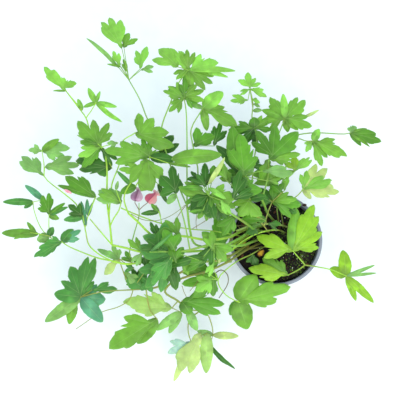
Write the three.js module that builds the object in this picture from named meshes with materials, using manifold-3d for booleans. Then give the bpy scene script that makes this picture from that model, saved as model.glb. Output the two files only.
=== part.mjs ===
// A bleeding heart with golden leaves, growing in a round nursery pot.
// Millimetres, +Z up. The origin is the middle of the pot's underside.

import * as THREE from 'three';
import { mergeVertices } from 'three/addons/utils/BufferGeometryUtils.js';
import Module from 'manifold-3d';

const wasm = await Module();
wasm.setup();

// Pot
const POT_HEIGHT = 165;
const RIM_RADIUS = 82.5;
const BASE_RADIUS = 65;
const WALL = 1.8;
const FLOOR = 2.4;
const LIP_WIDTH = 6;
const LIP_HEIGHT = 12;
const LIP_ROUND = 1.2;
const POT_SIDES = 32;
const DRAIN_HOLES = 6;
const DRAIN_RADIUS = 6;
const DRAIN_RING = 46;
const DRAIN_SIDES = 10;

// Soil
const SOIL_LEVEL = 150;
const SOIL_LUMP = 2.2;
const SOIL_SIDES = 18;
const SOIL_RINGS = [0.93, 0.74, 0.5, 0.25];
const CLEARANCE = 0.4;
const HOLE_CLEARANCE = 0.9;
const HOLE_DEPTH = 22;
const HOLE_SIDES = 5;

// Stems. The thickest is a leafy stem, the thinnest the stalk of one leaflet
const STEM_RADIUS = 2.2;
const BRANCH_RADIUS = 1.7;
const PETIOLE_RADIUS = 1.2;
const TWIG_RADIUS = 0.9;
const STALK_RADIUS = 0.75;
const STEM_SIDES = 5;
const PETIOLE_SIDES = 3;
const STALK_SIDES = 3;
const SOIL_RISE = 8;
const JOINT_SIZE = 2;
const SHORT_STALK = 16;
const STALK_OVERLAP = 1;
const SLIVER = 0.25;

// Leaf blades. A blade's outline is drawn round BLADE_MIDDLE, and its two faces fan out from the
// first of CREST_PLACES that faces all of it. Both are shares of its length
const BLADE = 0.7;
const BLADE_MIDDLE = 0.12;
const CREST_PLACES = [0.45, 0.3, BLADE_MIDDLE];
const LEAST_FACET = 0.5;
const ARCH = 0.32;
const SIDE_FALL = 0.1;
const SIDE_CURL = 0.02;

// A lobe's slopes, its roundness and its point, and the share of its slope at which the cut
// beside it and its flanks lie. WIDE_GAP is the angle in radians between two lobes from which
// the cut has its full depth
const CUT_SPREAD = 0.56;
const WIDE_GAP = 0.6;
const WIDEST = 0.4;
const LEAST_FLANK = 0.18;
const LOBE_SLOPE = 2.85;
const LOBE_POINT = 0.7;
const LOBE_ROUND = 1.18;
const SMALL_LOBE = 36;
const FLANKS = [0.45, 0.85];
const FLANK_OF_SMALL = 0.6;

// Flowers
const FLOWER_LENGTH = 25;
const FLOWER_WIDTH = 21;
const FLOWER_DEPTH = 10;
const FLOWER_GAP = 0.35;
const STALK_DROP = 4;
const NOTCH_DEPTH = -1.3;
const FLOWER_SIDES = 8;
const INNER_SIZE = [2.2, 1.8, 4.2];

// The plant is laid out on a grid of squares as it is seen from above, with x to the right
// and y down, so that overlapping leaves are placed by the eye. `seen` finds the real point
// at a given height behind a square. GRID_REACH is the eye's distance counted in squares.
const EYE = new THREE.Vector3(-120.6, -97.8, 1262);
const EYE_TILT = THREE.MathUtils.degToRad(8);
const GRID_REACH = 620;
const GRID_MIDDLE = 208;

const LEAF_GOLD = 0x9ad142;
const LEAF_GREEN = 0x6eb243;
const LEAF_DEEP = 0x4a7726;
const LEAF_COOL = 0x4f9450;
const LEAF_PALE = 0xc9e1a3;
const LEAF_YELLOW = 0xd9b040;
const STEM_GREEN = 0xb1c065;
const PETAL_MAUVE = 0xc0809c;
const PETAL_ROSE = 0xe0708a;
const PETAL_WHITE = 0xf2ece4;
const POT_GRAY = 0x6f737a;
const SOIL_BROWN = 0x1a0d08;

const UP = new THREE.Vector3(0, 0, 1);

function seen([x, y, height]) {
  const across = (x - GRID_MIDDLE) / GRID_REACH;
  const upward = (GRID_MIDDLE - y) / GRID_REACH;
  const ray = new THREE.Vector3(
    across,
    Math.sin(EYE_TILT) + upward * Math.cos(EYE_TILT),
    -Math.cos(EYE_TILT) + upward * Math.sin(EYE_TILT),
  );
  return EYE.clone().addScaledVector(ray, (height - EYE.z) / ray.z);
}

// Solids

function toSolid(geometry) {
  const bare = geometry.clone();
  bare.deleteAttribute('normal');
  bare.deleteAttribute('uv');
  const merged = mergeVertices(bare, 1e-4);
  return new wasm.Manifold(new wasm.Mesh({
    numProp: 3,
    vertProperties: new Float32Array(merged.attributes.position.array),
    triVerts: new Uint32Array(merged.index.array),
  }));
}

function toGeometry(solid) {
  const mesh = solid.getMesh();
  const geometry = new THREE.BufferGeometry();
  geometry.setAttribute('position', new THREE.BufferAttribute(mesh.vertProperties, 3));
  geometry.setIndex(new THREE.BufferAttribute(mesh.triVerts, 1));
  return geometry;
}

// Joins solids, and drops the slivers that joining leaves
function joined(solids) {
  return wasm.Manifold.union(solids).simplify(SLIVER);
}

function addMesh(name, solid, color, roughness) {
  const geometry = toGeometry(solid);
  geometry.computeVertexNormals();
  const material = new THREE.MeshStandardMaterial({ color, roughness, metalness: 0 });
  const mesh = new THREE.Mesh(geometry, material);
  mesh.name = name;
  plant.add(mesh);
}

function ringShape(radius, sides) {
  const points = [];
  for (let side = 0; side < sides; side += 1) {
    const turn = (side / sides) * Math.PI * 2;
    points.push(new THREE.Vector2(Math.cos(turn) * radius, Math.sin(turn) * radius));
  }
  return new THREE.Shape(points);
}

// A route that is stepped from one of its points to the next, whatever their distance
class Route extends THREE.CatmullRomCurve3 {
  getPointAt(share) {
    return this.getPoint(share);
  }

  getTangentAt(share) {
    return this.getTangent(share);
  }

  getSpacedPoints(steps) {
    return this.getPoints(steps);
  }
}

function tube(points, radius, sides) {
  return toSolid(new THREE.ExtrudeGeometry(ringShape(radius, sides), {
    steps: points.length - 1,
    extrudePath: new Route(points, false, 'centripetal'),
    bevelEnabled: false,
  }));
}

// Leaf blades

// How far a lobe reaches at an angle from its own axis: a leaf shape, pointed at its tip
function lobeReach(lobe, angle) {
  const spread = Math.abs(Math.tan(angle)) / lobe.slopes[angle < 0 ? 0 : 1];
  return (lobe.length * Math.max(0, 1 - spread ** LOBE_ROUND) ** LOBE_POINT) / Math.cos(angle);
}

// Each lobe's angle, its length, and how steeply its two sides open. The cut between two lobes
// is a set share deep, or less where they stand close, and the outer sides make up the width
function lobesOf(offsets, wide) {
  const found = offsets
    .map(([ahead, aside]) => ({ angle: Math.atan2(aside, ahead), length: Math.hypot(ahead, aside) }))
    .sort((one, other) => one.angle - other.angle);
  return found.map(({ angle, length }, index) => {
    const slopes = [-1, 1].map((side) => {
      const neighbour = found[index + side];
      if (neighbour) {
        const gap = Math.abs(neighbour.angle - angle);
        return Math.tan(gap / 2) / (CUT_SPREAD * Math.min(1, gap / WIDE_GAP));
      }
      const outer = wide / 2 - WIDEST * length * Math.max(0, Math.sin(side * angle));
      const least = found.length > 1 ? LEAST_FLANK * length : 0;
      return (LOBE_SLOPE * Math.max(least, outer)) / length;
    });
    return { angle, length, slopes };
  });
}

// Corners of the outline round the blade's middle, as forward and sideways places: the stalk, the
// tips, the cuts between them, and the flanks of the outer lobes
function outlineOf(lobes, middle) {
  const corners = [[Math.PI, middle]];
  lobes.forEach((lobe, index) => {
    corners.push([lobe.angle, lobe.length]);
    [-1, 1].forEach((side, at) => {
      const neighbour = lobes[index + side];
      if (!neighbour) {
        const shares = lobe.length > SMALL_LOBE ? FLANKS : [FLANK_OF_SMALL];
        shares
          .map((share) => side * Math.atan(share * lobe.slopes[at]))
          .forEach((turn) => corners.push([lobe.angle + turn, lobeReach(lobe, turn)]));
      } else if (side > 0) {
        const turn = (neighbour.angle - lobe.angle) / 2;
        const reach = Math.max(lobeReach(lobe, turn), lobeReach(neighbour, -turn));
        corners.push([lobe.angle + turn, reach]);
      }
    });
  });
  return corners
    .sort((one, other) => one[0] - other[0])
    .map(([angle, reach]) => [middle + Math.cos(angle) * reach, Math.sin(angle) * reach]);
}

// Whether every side of the outline faces a place on the midrib
function facesAll(outline, place) {
  return outline.every(([forward, sideways], index) => {
    const [nextForward, nextSideways] = outline[(index + 1) % outline.length];
    return (forward - place) * nextSideways - (nextForward - place) * sideways > LEAST_FACET;
  });
}

function farthest(ends, base) {
  return ends.reduce((best, end) => (
    end.distanceTo(base) > best.distanceTo(base) ? end : best));
}

// Where a leaflet lies: its base, its lobes' ends and its axes
function bladeFrame({ from, tips, fall, roll }, knot) {
  const base = knot ?? seen(from);
  const ends = tips.map(([x, y]) => seen([x, y, from[2] - fall]));
  const far = farthest(ends, base);
  const length = far.distanceTo(base);
  const along = far.clone().sub(base).normalize();
  const across = new THREE.Vector3().crossVectors(along, UP).normalize();
  across.applyAxisAngle(along, THREE.MathUtils.degToRad(roll));
  const outward = new THREE.Vector3().crossVectors(across, along);
  return { base, ends, length, along, across, outward };
}

// One leaflet: a thin arched blade whose lobes end at the given tips
function bladeSolid(leaf, knot) {
  const { wide } = leaf;
  const { base, ends, length, along, across, outward } = bladeFrame(leaf, knot);
  const middle = BLADE_MIDDLE * length;
  const offsets = ends
    .map((end) => end.clone().sub(base))
    .map((offset) => [offset.dot(along) - middle, -offset.dot(across)]);
  const outline = outlineOf(lobesOf(offsets, wide), middle);
  const crest = CREST_PLACES
    .map((share) => share * length)
    .find((place) => facesAll(outline, place)) ?? middle;

  // A disc of as many corners as the outline has, whose corners move out to the outline
  const disc = new THREE.CylinderGeometry(1, 1, BLADE, outline.length, 1);
  const corners = disc.attributes.position;
  for (let corner = 0; corner < corners.count; corner += 1) {
    const x = corners.getX(corner);
    const z = corners.getZ(corner);
    const turn = (Math.atan2(x, z) / (Math.PI * 2) + 1) * outline.length;
    const [forward, sideways] = Math.hypot(x, z) > 0.5
      ? outline[Math.round(turn) % outline.length]
      : [crest, 0];
    const rise = bladeRise(forward, sideways, length, wide) + corners.getY(corner);
    const point = base.clone()
      .addScaledVector(along, forward)
      .addScaledVector(across, -sideways)
      .addScaledVector(outward, rise);
    corners.setXYZ(corner, point.x, point.y, point.z);
  }
  return toSolid(disc);
}

// The blade arches from stalk to tip and droops towards its sides
function bladeRise(forward, sideways, length, wide) {
  const share = forward / length;
  const arch = ARCH * length * share * (1 - share);
  return arch - SIDE_FALL * Math.abs(sideways) - (SIDE_CURL * sideways * sideways) / wide;
}

// A leaflet's base and its lobes' ends are squares of the grid. Its width and the fall of its
// ends below its base are millimetres, and it is rolled about its own length by degrees
const leaflet = (from, tips, wide, fall = 6, roll = 0) => ({ from, tips, wide, fall, roll });

// A compound leaf: a knot where its stalks meet, a stalk to each leaflet, and the blades
function leafSolids({ fork, leaflets }) {
  const knot = seen(fork);
  const solids = [toSolid(new THREE.OctahedronGeometry(JOINT_SIZE, 0)
    .translate(knot.x, knot.y, knot.z))];
  leaflets.forEach((part) => {
    const base = seen(part.from);
    if (knot.distanceTo(base) < SHORT_STALK) {
      solids.push(bladeSolid(part, knot));
      return;
    }
    const onward = base.clone().sub(knot).normalize();
    const inside = base.clone().addScaledVector(onward, STALK_OVERLAP);
    solids.push(tube([knot, inside], STALK_RADIUS, STALK_SIDES), bladeSolid(part));
  });
  return solids;
}

// Plant layout

const PLANT = [
  {
    name: 'leafy_stem_top',
    color: LEAF_GREEN,
    root: [-18, 26],
    stems: [
      { radius: STEM_RADIUS, route: [
        [252, 230, 192], [240, 238, 222], [222, 246, 240], [204, 247, 246], [194, 243, 250],
        [190, 230, 255], [187, 206, 262]] },
      { radius: PETIOLE_RADIUS, route: [
        [187, 206, 262], [187, 165, 272], [187, 140, 277], [186, 110, 280], [184, 98, 282]] },
      { radius: PETIOLE_RADIUS, route: [
        [187, 206, 262], [198, 176, 264], [193, 146, 264], [191, 130, 268], [203, 108, 274]] },
      { radius: PETIOLE_RADIUS, route: [
        [187, 206, 262], [172, 170, 260], [160, 136, 257], [148, 120, 250], [140, 100, 240],
        [129, 80, 232]] },
      { radius: PETIOLE_RADIUS, route: [
        [160, 136, 257], [163, 122, 257], [170, 104, 270], [178, 84, 279], [188, 70, 280]] },
    ],
    leaves: [
      { fork: [129, 80, 232], leaflets: [
        leaflet([122, 49, 236], [[109, 37], [101, 22], [109, 17], [121, 21]], 15, 10),
        leaflet([124, 48, 234], [[129, 33], [138, 39]], 20, 4),
        leaflet([119, 68, 230], [[86, 38]], 8, 8, 12),
        leaflet([120, 66, 236], [[114, 51]], 14, 0),
        leaflet([127, 68, 228], [[123, 59]], 6),
        leaflet([140, 69, 234], [[134, 59], [136, 51], [147, 46]], 12, 4),
        leaflet([141, 70, 230], [[154, 66], [153, 73]], 9, 8),
      ] },
      { fork: [188, 70, 280], leaflets: [
        leaflet([178, 67, 284], [[152, 57], [164, 48], [180, 51]], 24, 10),
        leaflet([187, 68, 286], [[181, 53], [187, 49], [195, 52]], 14, 0),
        leaflet([191, 68, 284], [[201, 54], [219, 63]], 14, 4),
        leaflet([200, 69, 276], [[230, 77], [237, 71]], 8, 4),
        leaflet([193, 75, 280], [[214, 76], [213, 84], [205, 90]], 14, 8),
        leaflet([190, 75, 282], [[192, 92]], 14, 6),
        leaflet([186, 75, 276], [[184, 92]], 12, 6),
        leaflet([186, 72, 278], [[173, 74], [176, 80]], 9, 4),
      ] },
      { fork: [184, 98, 282], leaflets: [
        leaflet([183, 95, 286], [[170, 98], [163, 91], [168, 86], [177, 82]], 14, 6),
        leaflet([184, 99, 278], [[180, 113], [169, 112], [172, 103]], 13, 12),
        leaflet([190, 98, 284], [[192, 88], [204, 90], [205, 101]], 14, 8),
      ] },
      { fork: [203, 108, 274], leaflets: [
        leaflet([205, 106, 276], [[223, 92]], 24, 6),
        leaflet([208, 109, 272], [[224, 108], [238, 126]], 22, 10),
        leaflet([206, 111, 270], [[207, 131]], 14, 10),
        leaflet([200, 107, 272], [[189, 104]], 9, 4),
      ] },
      { fork: [187, 150, 277], leaflets: [
        leaflet([172, 159, 290], [[222, 155]], 26, 2),
      ] },
      { fork: [193, 146, 264], leaflets: [
        leaflet([200, 148, 262], [[196, 128], [215, 136]], 18, 4),
        leaflet([214, 146, 256], [[214, 126], [221, 122], [227, 131]], 14, 6),
      ] },
    ],
  },
  {
    name: 'leafy_stem_upper_right',
    color: LEAF_GREEN,
    root: [-2, 34],
    stems: [
      { radius: STEM_RADIUS, route: [
        [268, 214, 200], [262, 200, 228], [252, 184, 248], [246, 176, 258]] },
      { radius: PETIOLE_RADIUS, route: [
        [252, 184, 248], [254, 160, 236], [257, 138, 230], [252, 118, 230], [253, 104, 232],
        [250, 89, 234]] },
      { radius: PETIOLE_RADIUS, route: [
        [262, 200, 228], [268, 176, 240], [269, 159, 246], [278, 136, 236], [285, 118, 234]] },
    ],
    leaves: [
      { fork: [250, 89, 234], leaflets: [
        leaflet([250, 88, 236], [[238, 80], [248, 72], [256, 78], [261, 83]], 9, 2),
        leaflet([252, 97, 234], [[255, 89], [264, 90], [267, 97]], 8, 2),
        leaflet([248, 100, 232], [[240, 105], [230, 101], [232, 95]], 8, 4),
        leaflet([253, 104, 232], [[259, 101], [260, 107]], 6, 4),
        leaflet([253, 111, 228], [[262, 110]], 8, 4),
      ] },
      { fork: [254.5, 128, 230], leaflets: [
        leaflet([251, 133, 236], [[254, 117]], 20, 2),
        leaflet([248, 128, 226], [[239, 122], [228, 130]], 10, 4),
        leaflet([252, 131, 222], [[246, 143]], 14, 4),
        leaflet([257, 127, 232], [[270, 121], [272, 130]], 12, 4),
      ] },
      { fork: [285, 118, 234], leaflets: [
        leaflet([284, 117, 236], [[283, 94]], 16, 2),
        leaflet([286, 117, 238], [[297, 96], [305, 98], [306, 106]], 17, 6),
        leaflet([288, 119, 236], [[309, 118], [312, 126], [298, 130]], 18, 8),
        leaflet([281, 118, 234], [[262, 109], [268, 97], [277, 103]], 20, 8),
        leaflet([281, 119, 228], [[260, 122], [270, 131]], 18, 6),
        leaflet([286, 120, 230], [[288, 132]], 14, 6),
        leaflet([304, 117, 222], [[319, 110]], 6, 4, 30),
      ] },
      { fork: [269, 159, 246], leaflets: [
        leaflet([268, 158, 252], [[251, 141], [256, 130], [275, 125], [298, 132]], 34, 6),
        leaflet([271, 157, 248], [[294, 145], [300, 154], [288, 162]], 24, 8),
        leaflet([268, 163, 236], [[261, 180], [273, 179]], 22, 8),
      ] },
      { fork: [246, 176, 258], leaflets: [
        leaflet([236, 168, 276], [[232, 126]], 26, 4),
        leaflet([244, 177, 284], [[228, 150], [239, 134], [258, 158]], 30, 6),
        leaflet([251, 176, 256], [[253, 166]], 14, 4),
        leaflet([242, 172, 262], [[216, 145]], 20, 6),
        leaflet([243, 179, 254], [[231, 188]], 15, 6),
        leaflet([241, 177, 256], [[222, 172], [226, 182]], 14, 4),
      ] },
    ],
  },
  {
    name: 'leafy_stem_right',
    color: LEAF_GREEN,
    root: [6, 30],
    stems: [
      { radius: PETIOLE_RADIUS, route: [
        [277, 205, 184], [283, 180, 206], [289, 155, 216], [298, 139, 218], [306, 141, 216],
        [313, 141, 214]] },
      { radius: PETIOLE_RADIUS, route: [
        [289, 155, 216], [292, 138, 210], [310, 133, 205], [344, 134, 202], [350, 133, 200]] },
      { radius: PETIOLE_RADIUS, route: [[283, 180, 206], [290, 176, 206], [295, 171, 208]] },
    ],
    leaves: [
      { fork: [313, 141, 214], leaflets: [
        leaflet([313, 140, 216], [[319, 129]], 15, 2),
        leaflet([314, 139, 214], [[334, 140], [347, 156], [339, 158]], 18, 6),
        leaflet([312, 142, 212], [[327, 158], [322, 166]], 17, 8),
        leaflet([311, 142, 212], [[304, 143], [306, 152]], 9, 4),
      ] },
      { fork: [350, 133, 200], leaflets: [
        leaflet([351, 133, 200], [[376, 135], [380, 142], [370, 145], [362, 145]], 11, 8),
        leaflet([351, 132, 202], [[357, 127], [347, 128]], 6, 4),
      ] },
      { fork: [295, 171, 208], leaflets: [
        leaflet([296, 171, 212], [[304, 158], [310, 157], [312, 160]], 8, 2),
        leaflet([294, 169, 214], [[284, 163], [292, 157], [296, 158]], 12, 4),
        leaflet([292, 171, 209], [[272, 173], [251, 175]], 10, 0),
        leaflet([288, 177, 204], [[253, 184], [262, 178]], 12, 2),
      ] },
    ],
  },
  {
    name: 'leafy_stem_pale',
    color: LEAF_PALE,
    root: [14, 24],
    stems: [
      { radius: PETIOLE_RADIUS, route: [
        [282, 207, 172], [292, 200, 184], [300, 193, 190], [303, 189, 192]] },
    ],
    leaves: [
      { fork: [303, 189, 192], leaflets: [
        leaflet([305, 187, 196], [[300, 174], [307, 170]], 13, 2),
        leaflet([307, 184, 194], [[316, 164], [328, 168]], 17, 4),
        leaflet([308, 187, 200], [[323, 176], [333, 180], [325, 184]], 14, 6),
        leaflet([308, 190, 192], [[332, 186], [340, 192], [323, 198]], 20, 8),
        leaflet([305, 192, 190], [[311, 199]], 11, 4),
      ] },
    ],
  },
  {
    name: 'leafy_stem_golden',
    color: LEAF_GOLD,
    root: [44, -30],
    stems: [
      { radius: PETIOLE_RADIUS, route: [[304, 263, 176], [305, 265, 186]] },
      { radius: PETIOLE_RADIUS, route: [[305, 265, 186], [299, 258, 192], [293, 251, 198]] },
      { radius: PETIOLE_RADIUS, route: [[305, 265, 186], [298, 270, 186], [288, 275, 184]] },
      { radius: PETIOLE_RADIUS, route: [
        [305, 265, 186], [318, 267, 184], [332, 270, 182], [346, 276, 180]] },
    ],
    leaves: [
      { fork: [293, 251, 198], leaflets: [
        leaflet([293, 250, 200], [[297, 209], [314, 205]], 30, 6),
        leaflet([294, 249, 202], [[319, 215]], 22, 10),
        leaflet([294, 250, 197], [[322, 232], [317, 247]], 24, 10),
        leaflet([291, 251, 199], [[257, 236], [264, 258]], 26, 8),
      ] },
      { fork: [288, 275, 184], leaflets: [
        leaflet([288, 275, 186], [[248, 268], [264, 280]], 15, 6),
        leaflet([287, 273, 180], [[262, 258], [281, 260]], 18, 4),
      ] },
      { fork: [346, 276, 180], leaflets: [
        leaflet([345, 275, 182], [[343, 250]], 23, 6),
        leaflet([345, 277, 180], [[330, 268]], 15, 6),
        leaflet([347, 275, 180], [[375, 265], [377, 273]], 9, 8),
        leaflet([345, 280, 178], [[356, 301], [375, 303]], 20, 14),
      ] },
    ],
  },
  {
    name: 'leafy_stem_below',
    color: LEAF_GREEN,
    root: [-20, -12],
    stems: [
      { radius: PETIOLE_RADIUS, route: [
        [252, 254, 176], [236, 262, 182], [218, 280, 178], [224, 293, 174], [236, 301, 171],
        [248, 304, 169]] },
    ],
    leaves: [
      { fork: [248, 304, 169], leaflets: [
        leaflet([250, 304, 170], [[239, 280], [262, 275], [290, 288], [271, 299]], 38, -3),
        leaflet([247, 305, 168], [[231, 313], [240, 328], [252, 325]], 30, 12),
        leaflet([243, 303, 166], [[229, 307]], 12, 8),
      ] },
      { fork: [218, 280, 178], leaflets: [
        leaflet([216, 277, 182], [[182, 266], [181, 284], [192, 298], [213, 297]], 40, 4),
      ] },
      { fork: [252, 254, 176], leaflets: [
        leaflet([254, 256, 177], [[246, 262], [257, 266]], 13, 4),
      ] },
    ],
  },
  {
    name: 'leafy_stem_bottom',
    color: LEAF_GREEN,
    root: [-28, -6],
    stems: [
      { radius: STEM_RADIUS, route: [
        [246, 250, 182], [226, 263, 194], [205, 272, 198], [186, 277, 196], [170, 284, 190],
        [165, 292, 184], [178, 301, 172], [188, 310, 162]] },
      { radius: PETIOLE_RADIUS, route: [
        [188, 310, 162], [200, 311, 156], [207, 314, 148], [212, 326, 134], [213, 335, 124]] },
      { radius: PETIOLE_RADIUS, route: [
        [200, 311, 156], [190, 319, 144], [188, 330, 130], [191, 342, 118]] },
      { radius: PETIOLE_RADIUS, route: [[178, 301, 172], [172, 308, 164]] },
    ],
    leaves: [
      { fork: [188, 310, 162], leaflets: [
        leaflet([190, 309, 168], [[184, 297], [205, 292], [225, 304], [222, 315]], 30, 6),
        leaflet([190, 313, 152], [[191, 326], [199, 330]], 14, 12),
      ] },
      { fork: [172, 308, 164], leaflets: [
        leaflet([173, 309, 164], [[157, 329], [170, 333], [180, 314]], 24, 18),
        leaflet([171, 308, 170], [[152, 292], [123, 302], [136, 309]], 32, 10),
      ] },
      { fork: [191, 342, 118], leaflets: [
        leaflet([203, 332, 126], [[179, 371], [193, 367], [207, 372]], 42, 30),
        leaflet([189, 338, 112], [[168, 352]], 18, 20),
        leaflet([190, 345, 104], [[174, 381]], 14, 30),
      ] },
      { fork: [213, 335, 124], leaflets: [
        leaflet([215, 331, 126], [[239, 336]], 14, 10),
        leaflet([211, 334, 128], [[197, 331]], 12, 4),
        leaflet([210, 345, 108], [[235, 369]], 12, 20, 40),
      ] },
    ],
  },
  {
    name: 'leafy_stem_lower_left',
    color: LEAF_COOL,
    root: [-32, 4],
    stems: [
      { radius: STEM_RADIUS, route: [
        [244, 247, 182], [224, 259, 205], [200, 263, 212], [178, 274, 210], [160, 286, 206],
        [146, 289, 202], [134, 287, 196]] },
      { radius: PETIOLE_RADIUS, route: [
        [146, 289, 202], [128, 290, 192], [110, 291, 180], [96, 293, 168], [81, 297, 160]] },
      { radius: PETIOLE_RADIUS, route: [
        [134, 287, 196], [126, 278, 196], [122, 268, 196], [119, 259, 198]] },
      { radius: TWIG_RADIUS, route: [
        [134, 287, 196], [129, 300, 176], [118, 307, 160], [102, 312, 146], [76, 329, 128]] },
      { radius: PETIOLE_RADIUS, route: [[146, 289, 202], [150, 310, 176], [157, 319, 162]] },
    ],
    leaves: [
      { fork: [81, 297, 160], leaflets: [
        leaflet([78, 295, 164], [[54, 295], [59, 281], [70, 268]], 30, 6),
        leaflet([83, 293, 158], [[89, 257], [97, 259]], 26, -2),
        leaflet([76, 300, 154], [[45, 322]], 25, 16),
        leaflet([75, 301, 152], [[69, 324]], 18, 16),
        leaflet([84, 296, 154], [[97, 284], [106, 300], [102, 322]], 40, 10),
        leaflet([92, 290, 164], [[109, 282], [118, 289]], 14, 4),
      ] },
      { fork: [119, 259, 198], leaflets: [
        leaflet([122, 264, 200], [[106, 251], [112, 245], [120, 249]], 16, 4),
        leaflet([126, 258, 204], [[97, 249]], 11, 8),
        leaflet([122, 264, 196], [[107, 272], [104, 275]], 15, 8),
        leaflet([124, 262, 192], [[113, 258]], 12, 4),
      ] },
      { fork: [157, 319, 162], leaflets: [
        leaflet([156, 318, 164], [[126, 316], [109, 349], [138, 345], [154, 333]], 34, 24),
      ] },
      { fork: [134, 287, 196], leaflets: [
        leaflet([140, 287, 192], [[125, 271]], 15, 4),
        leaflet([140, 280, 186], [[131, 268], [139, 270]], 10, 4),
      ] },
      { fork: [146, 289, 202], leaflets: [
        leaflet([147, 288, 206], [[127, 277], [141, 270], [158, 274]], 26, 2),
      ] },
    ],
  },
  {
    name: 'leafy_stem_far_left',
    color: LEAF_COOL,
    root: [-34, 13],
    stems: [
      { radius: STEM_RADIUS, route: [
        [240, 244, 188], [222, 254, 217], [196, 257, 224], [170, 260, 226], [145, 262, 224],
        [126, 264, 222], [112, 261, 220]] },
      { radius: PETIOLE_RADIUS, route: [
        [112, 261, 220], [98, 258, 216], [84, 253, 210], [68, 246, 202], [62, 242, 200]] },
      { radius: PETIOLE_RADIUS, route: [
        [112, 261, 220], [100, 255, 222], [89, 245, 224], [86, 233, 226], [85, 227, 228],
        [88, 216, 230]] },
      { radius: TWIG_RADIUS, route: [
        [62, 242, 200], [51, 238, 190], [41, 228, 180], [34, 210, 174], [33, 202, 172]] },
      { radius: TWIG_RADIUS, route: [[51, 238, 190], [49, 228, 186], [49, 215, 184]] },
      { radius: PETIOLE_RADIUS, route: [
        [85, 227, 228], [80, 212, 216], [76, 204, 210], [62, 192, 200], [48, 181, 192],
        [44, 176, 188]] },
      { radius: TWIG_RADIUS, route: [[44, 176, 188], [44, 165, 188], [42, 151, 188]] },
    ],
    leaves: [
      { fork: [62, 242, 200], leaflets: [
        leaflet([61, 242, 202], [[48, 253], [34, 257], [40, 247]], 15, 10),
        leaflet([60, 240, 204], [[46, 241], [52, 236]], 10, 4),
        leaflet([64, 241, 204], [[73, 229]], 19, 4),
        leaflet([66, 245, 202], [[81, 230], [80, 239]], 14, 4),
      ] },
      { fork: [49, 236, 190], leaflets: [
        leaflet([38, 233, 184], [[1, 232], [15, 238], [28, 222]], 16, 12),
        leaflet([41, 235, 190], [[53, 227]], 13, 0),
        leaflet([49, 236, 188], [[37, 240]], 18, 6),
      ] },
      { fork: [33, 202, 172], leaflets: [
        leaflet([30, 200, 172], [[3, 201], [8, 204]], 10, 8),
        leaflet([30, 201, 168], [[24, 208]], 10, 6),
        leaflet([43, 200, 176], [[25, 185]], 12, 6, 20),
      ] },
      { fork: [49, 215, 184], leaflets: [
        leaflet([50, 213, 186], [[38, 209], [42, 195], [49, 193], [65, 203]], 20, 8),
        leaflet([51, 214, 184], [[59, 219]], 11, 4),
        leaflet([52, 213, 182], [[68, 207]], 9, 2),
      ] },
      { fork: [85, 227, 228], leaflets: [
        leaflet([83, 216, 240], [[68, 205], [69, 214], [80, 203]], 18, 4),
        leaflet([83, 217, 238], [[64, 220]], 13, 6),
      ] },
      { fork: [88, 216, 230], leaflets: [
        leaflet([87, 222, 232], [[80, 202], [88, 199]], 9, 6),
        leaflet([88, 216, 232], [[93, 200]], 7, 0),
        leaflet([86, 203, 244], [[57, 184], [65, 175], [83, 175], [98, 190]], 26, 6),
      ] },
      { fork: [44, 176, 188], leaflets: [
        leaflet([44, 175, 186], [[20, 162], [21, 156], [38, 159]], 12, 12),
        leaflet([45, 167, 192], [[72, 157], [80, 165], [74, 174]], 26, 6),
      ] },
      { fork: [42, 151, 188], leaflets: [
        leaflet([41, 150, 186], [[28, 150], [36, 145], [36, 155]], 10, 8),
        leaflet([44, 149, 190], [[59, 139]], 15, 4),
        leaflet([45, 151, 186], [[70, 148], [66, 158], [55, 162]], 24, 8),
      ] },
    ],
  },
  {
    name: 'leafy_stem_left',
    color: LEAF_GREEN,
    root: [-30, 22],
    stems: [
      { radius: STEM_RADIUS, route: [
        [240, 240, 194], [224, 249, 230], [200, 251, 238], [170, 252, 242], [142, 252, 240],
        [126, 248, 238], [112, 245, 236]] },
      { radius: BRANCH_RADIUS, route: [
        [112, 245, 236], [110, 226, 238], [107, 200, 242], [107, 170, 246], [105, 150, 248]] },
      { radius: PETIOLE_RADIUS, route: [
        [105, 150, 248], [97, 143, 250], [90, 131, 242], [86, 118, 236], [78, 107, 230],
        [66, 91, 224]] },
      { radius: TWIG_RADIUS, route: [[86, 118, 236], [91, 111, 236], [96, 103, 236]] },
      { radius: PETIOLE_RADIUS, route: [
        [110, 226, 238], [114, 218, 246], [119, 210, 252], [121, 203, 254]] },
      { radius: PETIOLE_RADIUS, route: [
        [109, 215, 240], [112, 184, 244], [118, 168, 246], [122, 155, 250], [122, 142, 256],
        [135, 133, 262]] },
      { radius: PETIOLE_RADIUS, route: [[112, 245, 236], [100, 231, 236], [90, 219, 240]] },
    ],
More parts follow.
